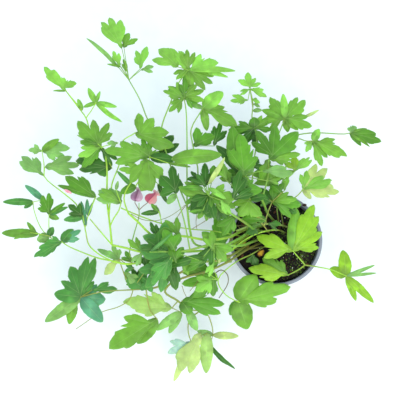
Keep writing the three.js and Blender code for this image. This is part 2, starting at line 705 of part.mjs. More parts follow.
    leaves: [
      { fork: [142, 252, 240], leaflets: [
        leaflet([140, 250, 244], [[128, 239], [136, 237]], 12, 4),
        leaflet([143, 254, 242], [[131, 262], [136, 266]], 10),
        leaflet([146, 256, 238], [[148, 270], [158, 268]], 12, 8),
      ] },
      { fork: [101, 147, 250], leaflets: [
        leaflet([101, 146, 256], [[78, 121], [93, 120], [109, 123], [113, 133]], 28, 8),
        leaflet([98, 141, 252], [[77, 135]], 6, 4),
        leaflet([98, 146, 250], [[80, 141], [88, 139]], 11, 6),
        leaflet([99, 148, 250], [[78, 156], [81, 148]], 17, 8),
        leaflet([100, 149, 246], [[82, 168], [92, 160]], 18, 8),
        leaflet([112, 168, 240], [[75, 161], [80, 170], [98, 174]], 34, 6),
      ] },
      { fork: [66, 91, 224], leaflets: [
        leaflet([66, 91, 226], [[44, 67], [56, 73], [65, 79], [77, 83]], 14, 6),
        leaflet([82, 110, 232], [[78, 99]], 9, 2),
      ] },
      { fork: [96, 103, 236], leaflets: [
        leaflet([96, 103, 238], [[88, 88]], 11, 4),
        leaflet([97, 102, 238], [[98, 91], [117, 107]], 8, 6),
        leaflet([97, 104, 234], [[122, 122]], 13, 10, 50),
        leaflet([95, 104, 232], [[83, 107]], 8, 4),
      ] },
      { fork: [121, 203, 254], leaflets: [
        leaflet([121, 203, 256], [[96, 199], [98, 190], [110, 189]], 24, 8),
        leaflet([121, 203, 258], [[112, 203], [117, 190]], 12, 4),
      ] },
      { fork: [135, 133, 262], leaflets: [
        leaflet([136, 133, 264], [[138, 112], [154, 118], [169, 133], [175, 147]], 28, 6),
      ] },
    ],
  },
  {
    name: 'leafy_stem_middle_left',
    color: LEAF_GREEN,
    root: [-26, 31],
    stems: [
      { radius: STEM_RADIUS, route: [
        [240, 232, 200], [226, 238, 252], [207, 240, 258], [180, 236, 258], [160, 240, 256],
        [148, 232, 256], [138, 222, 258], [128, 213, 262]] },
      { radius: PETIOLE_RADIUS, route: [
        [128, 213, 262], [124, 198, 268], [130, 184, 270], [145, 172, 270]] },
      { radius: PETIOLE_RADIUS, route: [[145, 172, 270], [148, 164, 266], [150, 157, 264]] },
      { radius: TWIG_RADIUS, route: [[160, 240, 256], [162, 226, 260], [159, 212, 264]] },
    ],
    leaves: [
      { fork: [180, 236, 258], leaflets: [
        leaflet([178, 232, 264], [[165, 220], [177, 217]], 15, 4),
      ] },
      { fork: [159, 212, 264], leaflets: [
        leaflet([155, 211, 266], [[141, 214]], 9, 4),
        leaflet([157, 208, 268], [[151, 204]], 8, 4),
      ] },
      { fork: [145, 172, 270], leaflets: [
        leaflet([147, 159, 276], [[130, 183], [141, 192], [152, 192], [163, 180]], 44),
        leaflet([143, 171, 272], [[119, 169], [128, 163]], 12, 4),
        leaflet([136, 186, 266], [[120, 193]], 15, 4),
        leaflet([158, 184, 262], [[167, 203]], 9),
        leaflet([134, 188, 264], [[117, 171]], 8, 4),
      ] },
      { fork: [150, 157, 264], leaflets: [
        leaflet([150, 158, 268], [[115, 164], [105, 150], [120, 142], [136, 144]], 28, 8),
        leaflet([153, 157, 262], [[142, 138], [150, 137]], 13, 6),
        leaflet([158, 158, 247], [[174, 135], [179, 144]], 22, 6),
        leaflet([152, 164, 270], [[176, 160]], 18, 4),
        leaflet([147, 163, 267], [[139, 149], [151, 149], [163, 156]], 20, 2),
        leaflet([168, 163, 270], [[191, 167]], 6, 2),
      ] },
      { fork: [160, 240, 256], leaflets: [
        leaflet([158, 238, 258], [[150, 222], [156, 224]], 9, 4),
      ] },
    ],
  },
  {
    name: 'leafy_stem_middle',
    color: LEAF_DEEP,
    root: [-22, 4],
    stems: [
      { radius: STEM_RADIUS, route: [
        [252, 242, 200], [236, 246, 262], [214, 244, 272], [190, 250, 274], [174, 252, 274]] },
      { radius: PETIOLE_RADIUS, route: [[190, 250, 274], [184, 220, 278], [176, 194, 282]] },
    ],
    leaves: [
      { fork: [174, 252, 274], leaflets: [
        leaflet([172, 252, 276], [[138, 246], [143, 236], [165, 222]], 36, 8),
        leaflet([174, 254, 280], [[164, 226], [180, 232]], 30, 2),
        leaflet([172, 256, 272], [[150, 262], [150, 278], [166, 277]], 26, 12),
        leaflet([176, 256, 270], [[183, 246], [181, 262]], 14, 4),
        leaflet([174, 262, 262], [[165, 277], [176, 290]], 17, 8),
        leaflet([169, 264, 254], [[138, 270], [145, 288], [161, 293]], 30, 8),
      ] },
      { fork: [176, 194, 282], leaflets: [
        leaflet([175, 192, 284], [[160, 196], [160, 176], [172, 165], [180, 180]], 24, 8),
        leaflet([174, 193, 280], [[167, 204]], 12, 6),
      ] },
      { fork: [214, 244, 272], leaflets: [
        leaflet([210, 250, 278], [[203, 234], [213, 234]], 16, 2),
        leaflet([216, 248, 278], [[226, 262], [234, 250]], 16),
        leaflet([212, 252, 276], [[197, 268], [212, 268], [220, 262]], 22, 8),
        leaflet([204, 256, 274], [[166, 267]], 14, 8),
      ] },
    ],
  },
  {
    name: 'leafy_stem_centre',
    color: LEAF_GREEN,
    root: [-12, 14],
    stems: [
      { radius: STEM_RADIUS, route: [
        [256, 230, 210], [244, 222, 262], [226, 210, 284], [209, 196, 292]] },
      { radius: PETIOLE_RADIUS, route: [[226, 210, 284], [232, 196, 288], [236, 190, 290]] },
    ],
    leaves: [
      { fork: [209, 196, 292], leaflets: [
        leaflet([206, 186, 284], [[198, 176], [205, 163], [218, 167]], 22, 4),
        leaflet([208, 184, 302], [[225, 157]], 9, 0, 30),
        leaflet([206, 190, 294], [[180, 190], [190, 183]], 15, 8),
        leaflet([204, 194, 290], [[184, 194]], 13, 6),
        leaflet([210, 192, 298], [[236, 198], [224, 184]], 24, 6),
        leaflet([206, 200, 288], [[190, 212], [213, 218]], 24, 10),
        leaflet([214, 200, 282], [[236, 208], [230, 215]], 14, 8),
      ] },
      { fork: [236, 190, 290], leaflets: [
        leaflet([236, 192, 300], [[231, 176], [247, 178]], 20, 6),
        leaflet([222, 176, 290], [[223, 163]], 14, 4),
        leaflet([237, 194, 296], [[262, 190]], 22, 8),
      ] },
      { fork: [235, 216, 273], leaflets: [
        leaflet([230, 216, 276], [[214, 216], [216, 226]], 14),
        leaflet([232, 218, 274], [[222, 236], [234, 232]], 16, 8),
      ] },
    ],
  },
  {
    name: 'leafy_stem_crown',
    color: LEAF_GREEN,
    root: [-8, 6],
    stems: [
      { radius: PETIOLE_RADIUS, route: [
        [264, 226, 216], [256, 214, 240], [252, 204, 262], [250, 199, 270]] },
      { radius: PETIOLE_RADIUS, route: [[264, 226, 216], [268, 212, 214], [272, 202, 214]] },
    ],
    leaves: [
      { fork: [250, 199, 270], leaflets: [
        leaflet([254, 202, 274], [[232, 204], [238, 216], [262, 216]], 28, 6),
        leaflet([251, 199, 268], [[266, 196]], 14, 4),
      ] },
      { fork: [272, 202, 214], leaflets: [
        leaflet([275, 202, 218], [[271, 184], [281, 184]], 17, 4),
        leaflet([280, 200, 212], [[301, 205], [290, 218]], 26, 10),
        leaflet([270, 200, 210], [[259, 188]], 18, 4),
        leaflet([284, 191, 222], [[283, 178], [288, 175]], 8, 0),
      ] },
      { fork: [257, 216, 236], leaflets: [
        leaflet([266, 221, 232], [[235, 209], [240, 220]], 26),
      ] },
    ],
  },
  {
    name: 'leafy_stem_rim',
    color: LEAF_GREEN,
    root: [-52, 6],
    stems: [
      { radius: PETIOLE_RADIUS, route: [[236, 244, 172], [229, 248, 178], [224, 251, 180]] },
    ],
    leaves: [
      { fork: [224, 251, 180], leaflets: [
        leaflet([222, 250, 182], [[202, 232], [204, 250]], 26, 4),
        leaflet([226, 245, 184], [[216, 213], [229, 214]], 24, 0),
        leaflet([225, 250, 178], [[217, 263], [232, 262]], 17, 6),
      ] },
    ],
  },
];

// Yellowed leaves that lie low over the soil
const WITHERED = [
  { name: 'withered_leaf_left', root: [-58, -4], blade: leaflet([240, 241, 160], [[248, 247]], 8, 2) },
  { name: 'withered_leaf_right', root: [-30, -26], blade: leaflet([258, 256, 160], [[264, 250]], 8, 2) },
];

// Hanging flowers: where each hangs, which way its point turns, and how far it leans over
const FLOWERS = [
  { name: 'flower_mauve', at: [135.5, 200.5, 246], turn: -12, lean: 64, color: PETAL_MAUVE },
  { name: 'flower_rose', at: [148, 202, 246], turn: -38, lean: 64, color: PETAL_ROSE },
];

// The stalk that the flowers hang from, up to the knot where their own stalks part
const SPRAY = {
  name: 'flower_stalk_left',
  root: [-46, -8],
  stems: [
    { radius: PETIOLE_RADIUS, route: [
      [238, 253, 184], [222, 256, 194], [200, 256, 204], [170, 262, 218], [146, 264, 230],
      [130, 256, 227], [133, 238, 229], [139, 216, 248], [139, 210, 254]] },
    { radius: STALK_RADIUS, route: [[139, 210, 254], [139, 203, 259]] },
  ],
};

// Building

const plant = new THREE.Group();

// The pot's wall leans out from its base to just inside its rolled lip
function outsideAt(height) {
  const slope = (RIM_RADIUS - LIP_WIDTH / 2 - BASE_RADIUS) / POT_HEIGHT;
  return BASE_RADIUS + slope * height;
}

function potSolid() {
  const under = POT_HEIGHT - LIP_HEIGHT;
  const top = POT_HEIGHT - LIP_ROUND;
  const profile = [
    [0, 0], [BASE_RADIUS, 0], [outsideAt(under), under],
    [RIM_RADIUS - LIP_ROUND / 2, under + LIP_ROUND / 2], [RIM_RADIUS, top],
    [RIM_RADIUS - LIP_ROUND, POT_HEIGHT], [RIM_RADIUS - LIP_WIDTH + LIP_ROUND, POT_HEIGHT],
    [RIM_RADIUS - LIP_WIDTH, top], [outsideAt(under) - WALL, under - WALL],
    [BASE_RADIUS - WALL, FLOOR], [0, FLOOR],
  ];
  const points = profile.map(([radius, height]) => new THREE.Vector2(radius, height));
  const shell = toSolid(new THREE.LatheGeometry(points, POT_SIDES).rotateX(Math.PI / 2));
  const drains = [];
  for (let hole = 0; hole < DRAIN_HOLES; hole += 1) {
    const turn = (hole / DRAIN_HOLES) * Math.PI * 2;
    const drain = new THREE.CylinderGeometry(DRAIN_RADIUS, DRAIN_RADIUS, FLOOR * 3, DRAIN_SIDES);
    drain.rotateX(Math.PI / 2);
    drain.translate(Math.cos(turn) * DRAIN_RING, Math.sin(turn) * DRAIN_RING, FLOOR / 2);
    drains.push(toSolid(drain));
  }
  return shell.subtract(joined(drains));
}

// The soil's surface is a little uneven, in smooth waves
function soilLump(x, y) {
  return SOIL_LUMP * (Math.sin(x * 0.17 + 1.3) * Math.cos(y * 0.14)
    + 0.6 * Math.sin(x * 0.31 - y * 0.26) + 0.5 * Math.cos(y * 0.43 + x * 0.11));
}

function stemHole([x, y], radius) {
  const hole = new THREE.CylinderGeometry(radius, radius, HOLE_DEPTH * 2, HOLE_SIDES);
  hole.rotateX(Math.PI / 2);
  hole.translate(x, y, SOIL_LEVEL);
  return toSolid(hole);
}

function soilSolid(roots) {
  const inside = (height) => outsideAt(height) - WALL - CLEARANCE * 1.5;
  const under = FLOOR + CLEARANCE;
  const edge = inside(SOIL_LEVEL);
  const points = [
    new THREE.Vector2(0, under),
    new THREE.Vector2(inside(under), under),
    new THREE.Vector2(edge, SOIL_LEVEL - SOIL_LUMP * 1.4),
    ...SOIL_RINGS.map((share) => new THREE.Vector2(edge * share, SOIL_LEVEL)),
    new THREE.Vector2(0, SOIL_LEVEL),
  ];
  const body = new THREE.LatheGeometry(points, SOIL_SIDES).rotateX(Math.PI / 2);
  const corners = body.attributes.position;
  for (let corner = 0; corner < corners.count; corner += 1) {
    if (corners.getZ(corner) > SOIL_LEVEL - 1) {
      const x = corners.getX(corner);
      const y = corners.getY(corner);
      corners.setZ(corner, corners.getZ(corner) + soilLump(x, y));
    }
  }
  const holes = roots.map(({ at, radius }) => stemHole(at, radius + HOLE_CLEARANCE));
  return toSolid(body).subtract(joined(holes));
}

function stemSolids({ root, stems }) {
  return stems.map(({ radius, route }, index) => {
    const points = route.map(seen);
    if (index === 0) {
      const [x, y] = root;
      points.unshift(
        new THREE.Vector3(x, y, SOIL_LEVEL - HOLE_DEPTH + 1),
        new THREE.Vector3(x, y, SOIL_LEVEL + SOIL_RISE),
      );
    }
    return tube(points, radius, radius >= STEM_RADIUS ? STEM_SIDES : PETIOLE_SIDES);
  });
}

function leafyStemSolid(design) {
  return joined([...stemSolids(design), ...design.leaves.flatMap(leafSolids)]);
}

function witheredSolid({ root: [x, y], blade }) {
  const points = [
    new THREE.Vector3(x, y, SOIL_LEVEL - HOLE_DEPTH + 1),
    new THREE.Vector3(x, y, SOIL_LEVEL + SOIL_RISE),
    seen(blade.from),
  ];
  return joined([tube(points, STALK_RADIUS, PETIOLE_SIDES), bladeSolid(blade)]);
}

// A flower hangs point down: two swollen outer petals whose tips curl out, drawn as a
// turned heart that is then pressed flat
function heartPetals() {
  const outline = [
    [0, -0.14], [0.25, -0.03], [0.55, 0], [0.88, -0.12], [1, -0.32], [0.86, -0.52],
    [0.5, -0.7], [0.22, -0.85], [0.45, -0.94], [0.48, -1.01], [0.16, -0.93], [0, -0.93],
  ];
  const points = outline.map(([reach, height]) => new THREE.Vector2(reach, height));
  const body = new THREE.LatheGeometry(points.reverse(), FLOWER_SIDES).rotateX(Math.PI / 2);
  return body.scale(FLOWER_WIDTH / 2, FLOWER_DEPTH / 2, FLOWER_LENGTH);
}

function innerPetals() {
  const top = -0.94 * FLOWER_LENGTH - FLOWER_GAP;
  const [halfWidth, halfDepth, halfLength] = INNER_SIZE;
  const drop = new THREE.SphereGeometry(1, 6, 5).rotateX(Math.PI / 2);
  drop.scale(halfWidth, halfDepth, halfLength);
  return drop.translate(0, 0, top - halfLength);
}

// A flower's own stalk bends over and down into the notch at the top of its heart
function flowerStalk({ at, turn, lean }) {
  const route = SPRAY.stems[0].route;
  const knot = seen(route[route.length - 1]);
  const hang = seen(at);
  const [above, notch] = [STALK_DROP, NOTCH_DEPTH].map((height) => (
    new THREE.Vector3(0, 0, height)
      .applyAxisAngle(new THREE.Vector3(1, 0, 0), THREE.MathUtils.degToRad(lean))
      .applyAxisAngle(UP, THREE.MathUtils.degToRad(turn))
      .add(hang)));
  const bend = knot.clone().lerp(above, 0.6).addScaledVector(UP, 2);
  return tube([knot, bend, above, notch], STALK_RADIUS, PETIOLE_SIDES);
}

function spraySolid() {
  return joined([...stemSolids(SPRAY), ...FLOWERS.map(flowerStalk)]);
}

function placed(geometry, { at, turn, lean }) {
  const hang = seen(at);
  return geometry
    .rotateX(THREE.MathUtils.degToRad(lean))
    .rotateZ(THREE.MathUtils.degToRad(turn))
    .translate(hang.x, hang.y, hang.z);
}

function addPlant() {
  PLANT.forEach((design) => addMesh(design.name, leafyStemSolid(design), design.color, 0.6));
  WITHERED.forEach((design) => addMesh(design.name, witheredSolid(design), LEAF_YELLOW, 0.8));
  addMesh(SPRAY.name, spraySolid(), STEM_GREEN, 0.6);
  FLOWERS.forEach((flower) => {
    addMesh(flower.name, toSolid(placed(heartPetals(), flower)), flower.color, 0.5);
    addMesh(`${flower.name}_inner`, toSolid(placed(innerPetals(), flower)), PETAL_WHITE, 0.5);
  });
}

function rootList() {
  const thick = (design) => design.stems[0].radius;
  return [
    ...[...PLANT, SPRAY].map((design) => ({ at: design.root, radius: thick(design) })),
    ...WITHERED.map((design) => ({ at: design.root, radius: STALK_RADIUS })),
  ];
}

addMesh('nursery_pot', potSolid(), POT_GRAY, 0.55);
addMesh('potting_soil', soilSolid(rootList()), SOIL_BROWN, 1);
addPlant();

export default plant;
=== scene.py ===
"""A golden-leaved bleeding heart in its nursery pot, dressed over the CAD frame.

The plant is laid out in pixels of the photo, 416 to a side, each with a height in millimetres,
as in the part's source, which calls them squares of a grid. Shapes are worked in millimetres,
and each finished mesh is scaled to metres.
"""

import math
import random

import bmesh
import bpy
from bpy.props import FloatProperty, FloatVectorProperty, IntProperty
from mathutils import Matrix, Vector, noise


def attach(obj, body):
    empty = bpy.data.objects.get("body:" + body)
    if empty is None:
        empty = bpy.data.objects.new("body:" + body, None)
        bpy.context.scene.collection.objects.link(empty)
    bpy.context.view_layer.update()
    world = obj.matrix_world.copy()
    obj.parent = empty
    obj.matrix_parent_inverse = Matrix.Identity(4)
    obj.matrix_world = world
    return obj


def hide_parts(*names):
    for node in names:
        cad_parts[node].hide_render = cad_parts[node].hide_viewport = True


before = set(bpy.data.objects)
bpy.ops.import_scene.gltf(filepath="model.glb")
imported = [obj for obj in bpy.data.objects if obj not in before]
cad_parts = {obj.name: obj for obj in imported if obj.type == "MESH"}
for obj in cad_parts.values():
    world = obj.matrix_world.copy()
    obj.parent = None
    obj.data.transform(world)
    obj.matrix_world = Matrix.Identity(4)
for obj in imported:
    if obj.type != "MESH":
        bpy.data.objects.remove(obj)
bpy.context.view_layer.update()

bl_info = {
    "name": "Potted bleeding heart",
    "version": (1, 0, 0),
    "blender": (4, 5, 0),
    "location": "3D View > Sidebar > Bleeding heart",
    "description": "Dresses the potted bleeding heart with fine leaves, flowers, pot and soil",
    "category": "Object",
}

MM = 0.001
UP = Vector((0, 0, 1))
BODY = "root"
SEED = 7

# The photo's eye, which its pixels are laid out from: its place, its tilt from straight down, its
# distance counted in pixels, and the photo's middle
EYE = Vector((-120.6, -97.8, 1262))
EYE_TILT = math.radians(8)
GRID_REACH = 620
GRID_MIDDLE = 208
SENSOR_WIDTH = 36

# Pot and soil, as in the part's source
POT_HEIGHT = 165
RIM_RADIUS = 82.5
BASE_RADIUS = 65
WALL = 1.8
FLOOR = 2.4
LIP_WIDTH = 6
LIP_HEIGHT = 12
DRAIN_HOLES = 6
DRAIN_RADIUS = 6
DRAIN_RING = 46
SOIL_LEVEL = 150
SOIL_LUMP = 2.2
HOLE_DEPTH = 22
SOIL_RISE = 8

# What the fine pot and soil add: the foot under the base, a raised band round the wall, the
# soil's gaps to the wall and the floor, how many lumps deep its edge drops, the height and the
# closeness of its clods, and the lit side, where moss grows, as a range of angles
FOOT_WIDTH = 4
FOOT_HEIGHT = 0.8
BAND = (24, 27)
BAND_HEIGHT = 0.5
BAND_SLOPE = 0.6
SOIL_GAP = 0.6
SOIL_LIFT = 0.4
EDGE_DROP = 1.4
CLOD_HEIGHT = 1.1
CLOD_SCALE = 0.22
LIT_SIDE = (-1.4, 1.1)

# Leaf blades, as in the part's source
SHORT_STALK = 16
BLADE_MIDDLE = 0.12
ARCH = 0.32
SIDE_FALL = 0.1
SIDE_CURL = 0.02
CUT_SPREAD = 0.56
WIDE_GAP = 0.6
WIDEST = 0.4
LEAST_FLANK = 0.18
LOBE_SLOPE = 2.85

# What the fine blades add. A blade is its core with its lobes round it, and a blade with one tip
# is all core, and egg-shaped. Notches and slits are cut out of slightly fuller lobes. Quilting
# and buckling are in millimetres, and edges are thinned by a share, mostly close to the margin
CORE_AHEAD = 0.4
CORE_WIDTH = 0.5
CORE_ROUNDNESS = (1.7, 1.35)
LOBE_ROUND = 0.95
LOBE_POINT = 0.5
OVATE_MIDDLE = 0.42
OVATE_ROUNDNESS = (1.65, 2)
NOTCH_PLACE = 0.36
NOTCH_WIDTH = 0.17
NOTCH_CUT = 0.09
SLIT_DEPTH = 0.32
SLIT_WIDTH = 0.06
QUILT_HEIGHT = 0.9
QUILT_REACH = 3.6
BUCKLE_HEIGHT = 1.8
BUCKLE_SCALE = 0.055
EDGE_WAVE = 0.02
EDGE_WAVES = 9
EDGE_THINNING = 0.65
EDGE_POWER = 6
# How far the painted light and shade round a blade lightens some lobes and darkens others
PAINTED_LOBE_SHADE = 0.15

# How far a leaf's or a stem's tint strays from its tone
TINT_SPREAD = 0.07

# Stems. Each starts a little stouter than its radius. Stalks bow and thin by a share, and
# knobbles are a share of the radius. Stems turn to their foot's colour below CROWN_HEIGHT over
# the soil, up to CROWN_REACH and twice that from the pot's axis. That colour is rust with
# painted shade, darker where the foliage covers the crown
STALK_RADIUS = 0.75
STALK_BOW = 0.03
STALK_ENDS = (1.1, 0.8)
STEM_START = 1.05
WITHERED_END = 0.7
KNOBBLE = 0.05
KNOBBLE_SCALE = 0.11
CROWN_HEIGHT = 60
CROWN_REACH = 50

# How fast the streaks on a stem change round it and along it
STREAKS_ROUND = 1.5
STREAKS_ALONG = 0.04

# Flowers, as in the part's source
FLOWER_LENGTH = 25
FLOWER_WIDTH = 21
FLOWER_DEPTH = 10
FLOWER_GAP = 0.35
STALK_DROP = 4
NOTCH_DEPTH = -1.3
INNER_SIZE = (2.2, 1.8, 4.2)

# Shares of a heart: the width of the furrow between its petals, and where and by how much they
# flatten to its tip, the length over which they do, and where its inner petals start
FURROW_WIDTH = 0.16
SKIRT_PLACE = 0.82
SKIRT_LENGTH = 0.1
SKIRT_CUT = 0.45
INNER_PLACE = -0.94

# A flower's stalk bends at a share of its length, some millimetres up
BEND_PLACE = 0.6
BEND_RISE = 2

# How fine the meshes are. A blade has rings and steps, more where it is longer than LARGE_BLADE
# millimetres. Rings stand closer towards its margin. Steps stand closer where the gap between
# two keys of its outline is narrow, and near the keys. A stem thicker than THICK_STEM
# millimetres has more sides
RING_POWER = 0.85
GAP_POWER = 0.6
GAP_EASING = 0.11
LARGE_BLADE = 22
LARGE_MESH = (9, 80)
SMALL_MESH = (6, 56)
STEM_STEPS = 4
STALK_STEPS = 3
THICK_STEM = 2
THICK_STEM_SIDES = 10
STEM_SIDES = 8
STALK_SIDES = 6
HEART_STEPS = 40
INNER_STEPS = 20
POT_STEPS = 128
DRAIN_STEPS = 28
SOIL_RINGS = 34
SOIL_STEPS = 96

# The studio: half the width of the paper sweep in millimetres, and the key light's place in metres
FLOOR_REACH = 4000
KEY_PLACE = (0.2, -0.9, 2.1)

# Most of a noise texture's values lie between these
NOISE = (0.3, 0.7)

# What each tone stands for, and its colour. Those of the leaf tones were brought to the photo's
# by comparing it with a render
TONES = {
    "gold": ("Lime gold, as over the pot", "81ad1d"),
    # Fresh: a young leaf's green, lightened as painted light where the leaf lies in full light
    "fresh": ("Young leaf in full light", "7eba40"),
    "mid": ("Full-grown leaf", "669929"),
    "leaf": ("Older leaf", "508818"),
    # Deep: painted shade, a darker green for inner leaves that lie under others
    "deep": ("Shaded inner leaf", "2f650c"),
    "cool": ("Leaf with a blue bloom", "468632"),
    "blue": ("Blue-green leaf", "519367"),
    # Hazy: pale partly from the leaf's bloom and partly from a painted sheen of the sky
    "hazy": ("Leaf with a pale bloom", "7bac55"),
    "soft": ("Leaf turned half over", "95b65c"),
    "pale": ("Turned leaf, underside up", "b2c672"),
    "mint": ("Turned leaf with a blue bloom", "a2c2b0"),
    "lime_stem": ("Juicy young stem", "a6d845"),
    "green_stem": ("Grown stem", "8ab94a"),
    "bloomy_stem": ("Stem with a pale bloom", "95b65c"),
    "olive_stem": ("Old stem near the crown", "93a048"),
    "rosy_stem": ("Flower stalk", "84603f"),
    "straw_stem": ("Last year's dry stem", "8f8444"),
    # Crown stem: rust with painted shade, for stem feet under the foliage
    "crown_stem": ("Foot of a stem, shaded and rusty", "5c5a26"),
}

# What lies on the soil: the half-sizes of its grains, their colours and how fine their balls are
CRUMBS = ((0.7, 2.2), ("0c0705", "150c07", "1e120b", "2c1a10", "080504", "3f2819"), 1)
BARK = ((2.0, 4.2), ("4a2a18", "35200f", "5e3820", "1c110b"), 2)
PERLITE = ((0.6, 1.5), ("e8e6df", "d6d2c6", "bdb8a8"), 2)
MOSS = ((0.8, 2.0), ("4d6a1f", "5f8026", "3a5418", "7a9a34"), 1)
CRUMBS_TO_BARK = 12

# The grains' width and height as shares of their size, how far they lean, the share of their
# height that they are lifted by, and how far they keep from the soil's edge
GRAIN_WIDTH = (0.5, 0.9)
GRAIN_HEIGHT = (0.35, 0.7)
GRAIN_LEAN = 0.6
GRAIN_LIFT = 0.3
GRAIN_MARGIN = 2

# A clod of soil left on the rim: its place, its half-sizes and its colour
RIM_CLOD = ((304.5, 205, 166.2), (4, 2.6, 2), "3a2117")

# A heart's half outline and an inner petal's, as shares of half width and of length
HEART_OUTLINE = (
    (0, -0.14), (0.25, -0.03), (0.55, 0), (0.88, -0.12), (1, -0.32), (0.86, -0.52),
    (0.55, -0.68), (0.36, -0.82), (0.66, -0.92), (0.74, -1.03), (0.34, -1), (0, -0.93))
INNER_OUTLINE = (
    (0, 1), (0.55, 0.92), (0.5, 0.55), (0.95, 0.1), (1, -0.3), (0.55, -0.75), (0, -1))

# Each flower: where it hangs, how it is turned and leans, and its colours from its far petal over
# the seam to the near petal and its edge. The far petal's colour is painted shade and the near
# petal's painted light. After them, those of the inner petals
FLOWERS = (
    ("flower_mauve", (135.5, 200.5, 246), -12, 64, ("a87a9e", "8c5078", "c48cb0", "dcb6ce")),
    ("flower_rose", (148, 202, 246), -38, 64, ("cc5474", "b94a6c", "fa929c", "ffb8ba")),
)
INNER_PETAL = ("f3e9e2", "e3cfc6", "f3e9e2", "f7efe9")

# A petal that has dropped onto a leaf: its place, half-sizes, turn in degrees and colours
FALLEN_PETAL = ((68, 191.5, 252), (7, 2.4, 1.4), -28, ("f0a0ac", "e48a9a", "f0a0ac", "f7bcc4"))

# The flowers' stalk: where it is rooted, and its stems, as below
SPRAY_ROOT = (-46, -8)
SPRAY_STEMS = (
    (1.2, (
        (238, 253, 184), (222, 256, 194), (200, 256, 204), (170, 262, 218), (146, 264, 230),
        (130, 256, 227), (133, 238, 229), (139, 216, 248), (139, 210, 254))),
    (0.75, ((139, 210, 254), (139, 203, 259))),
)

# The withered leaves: where each is rooted, and its leaflet, as below
WITHERED = (
    ("withered_leaf_left", (-58, -4), ("gold", (240, 241, 160), ((249, 248),), 9, 2)),
    ("withered_leaf_right", (-30, -26), ("gold", (258, 256, 160), ((264, 250),), 9, 2)),
)

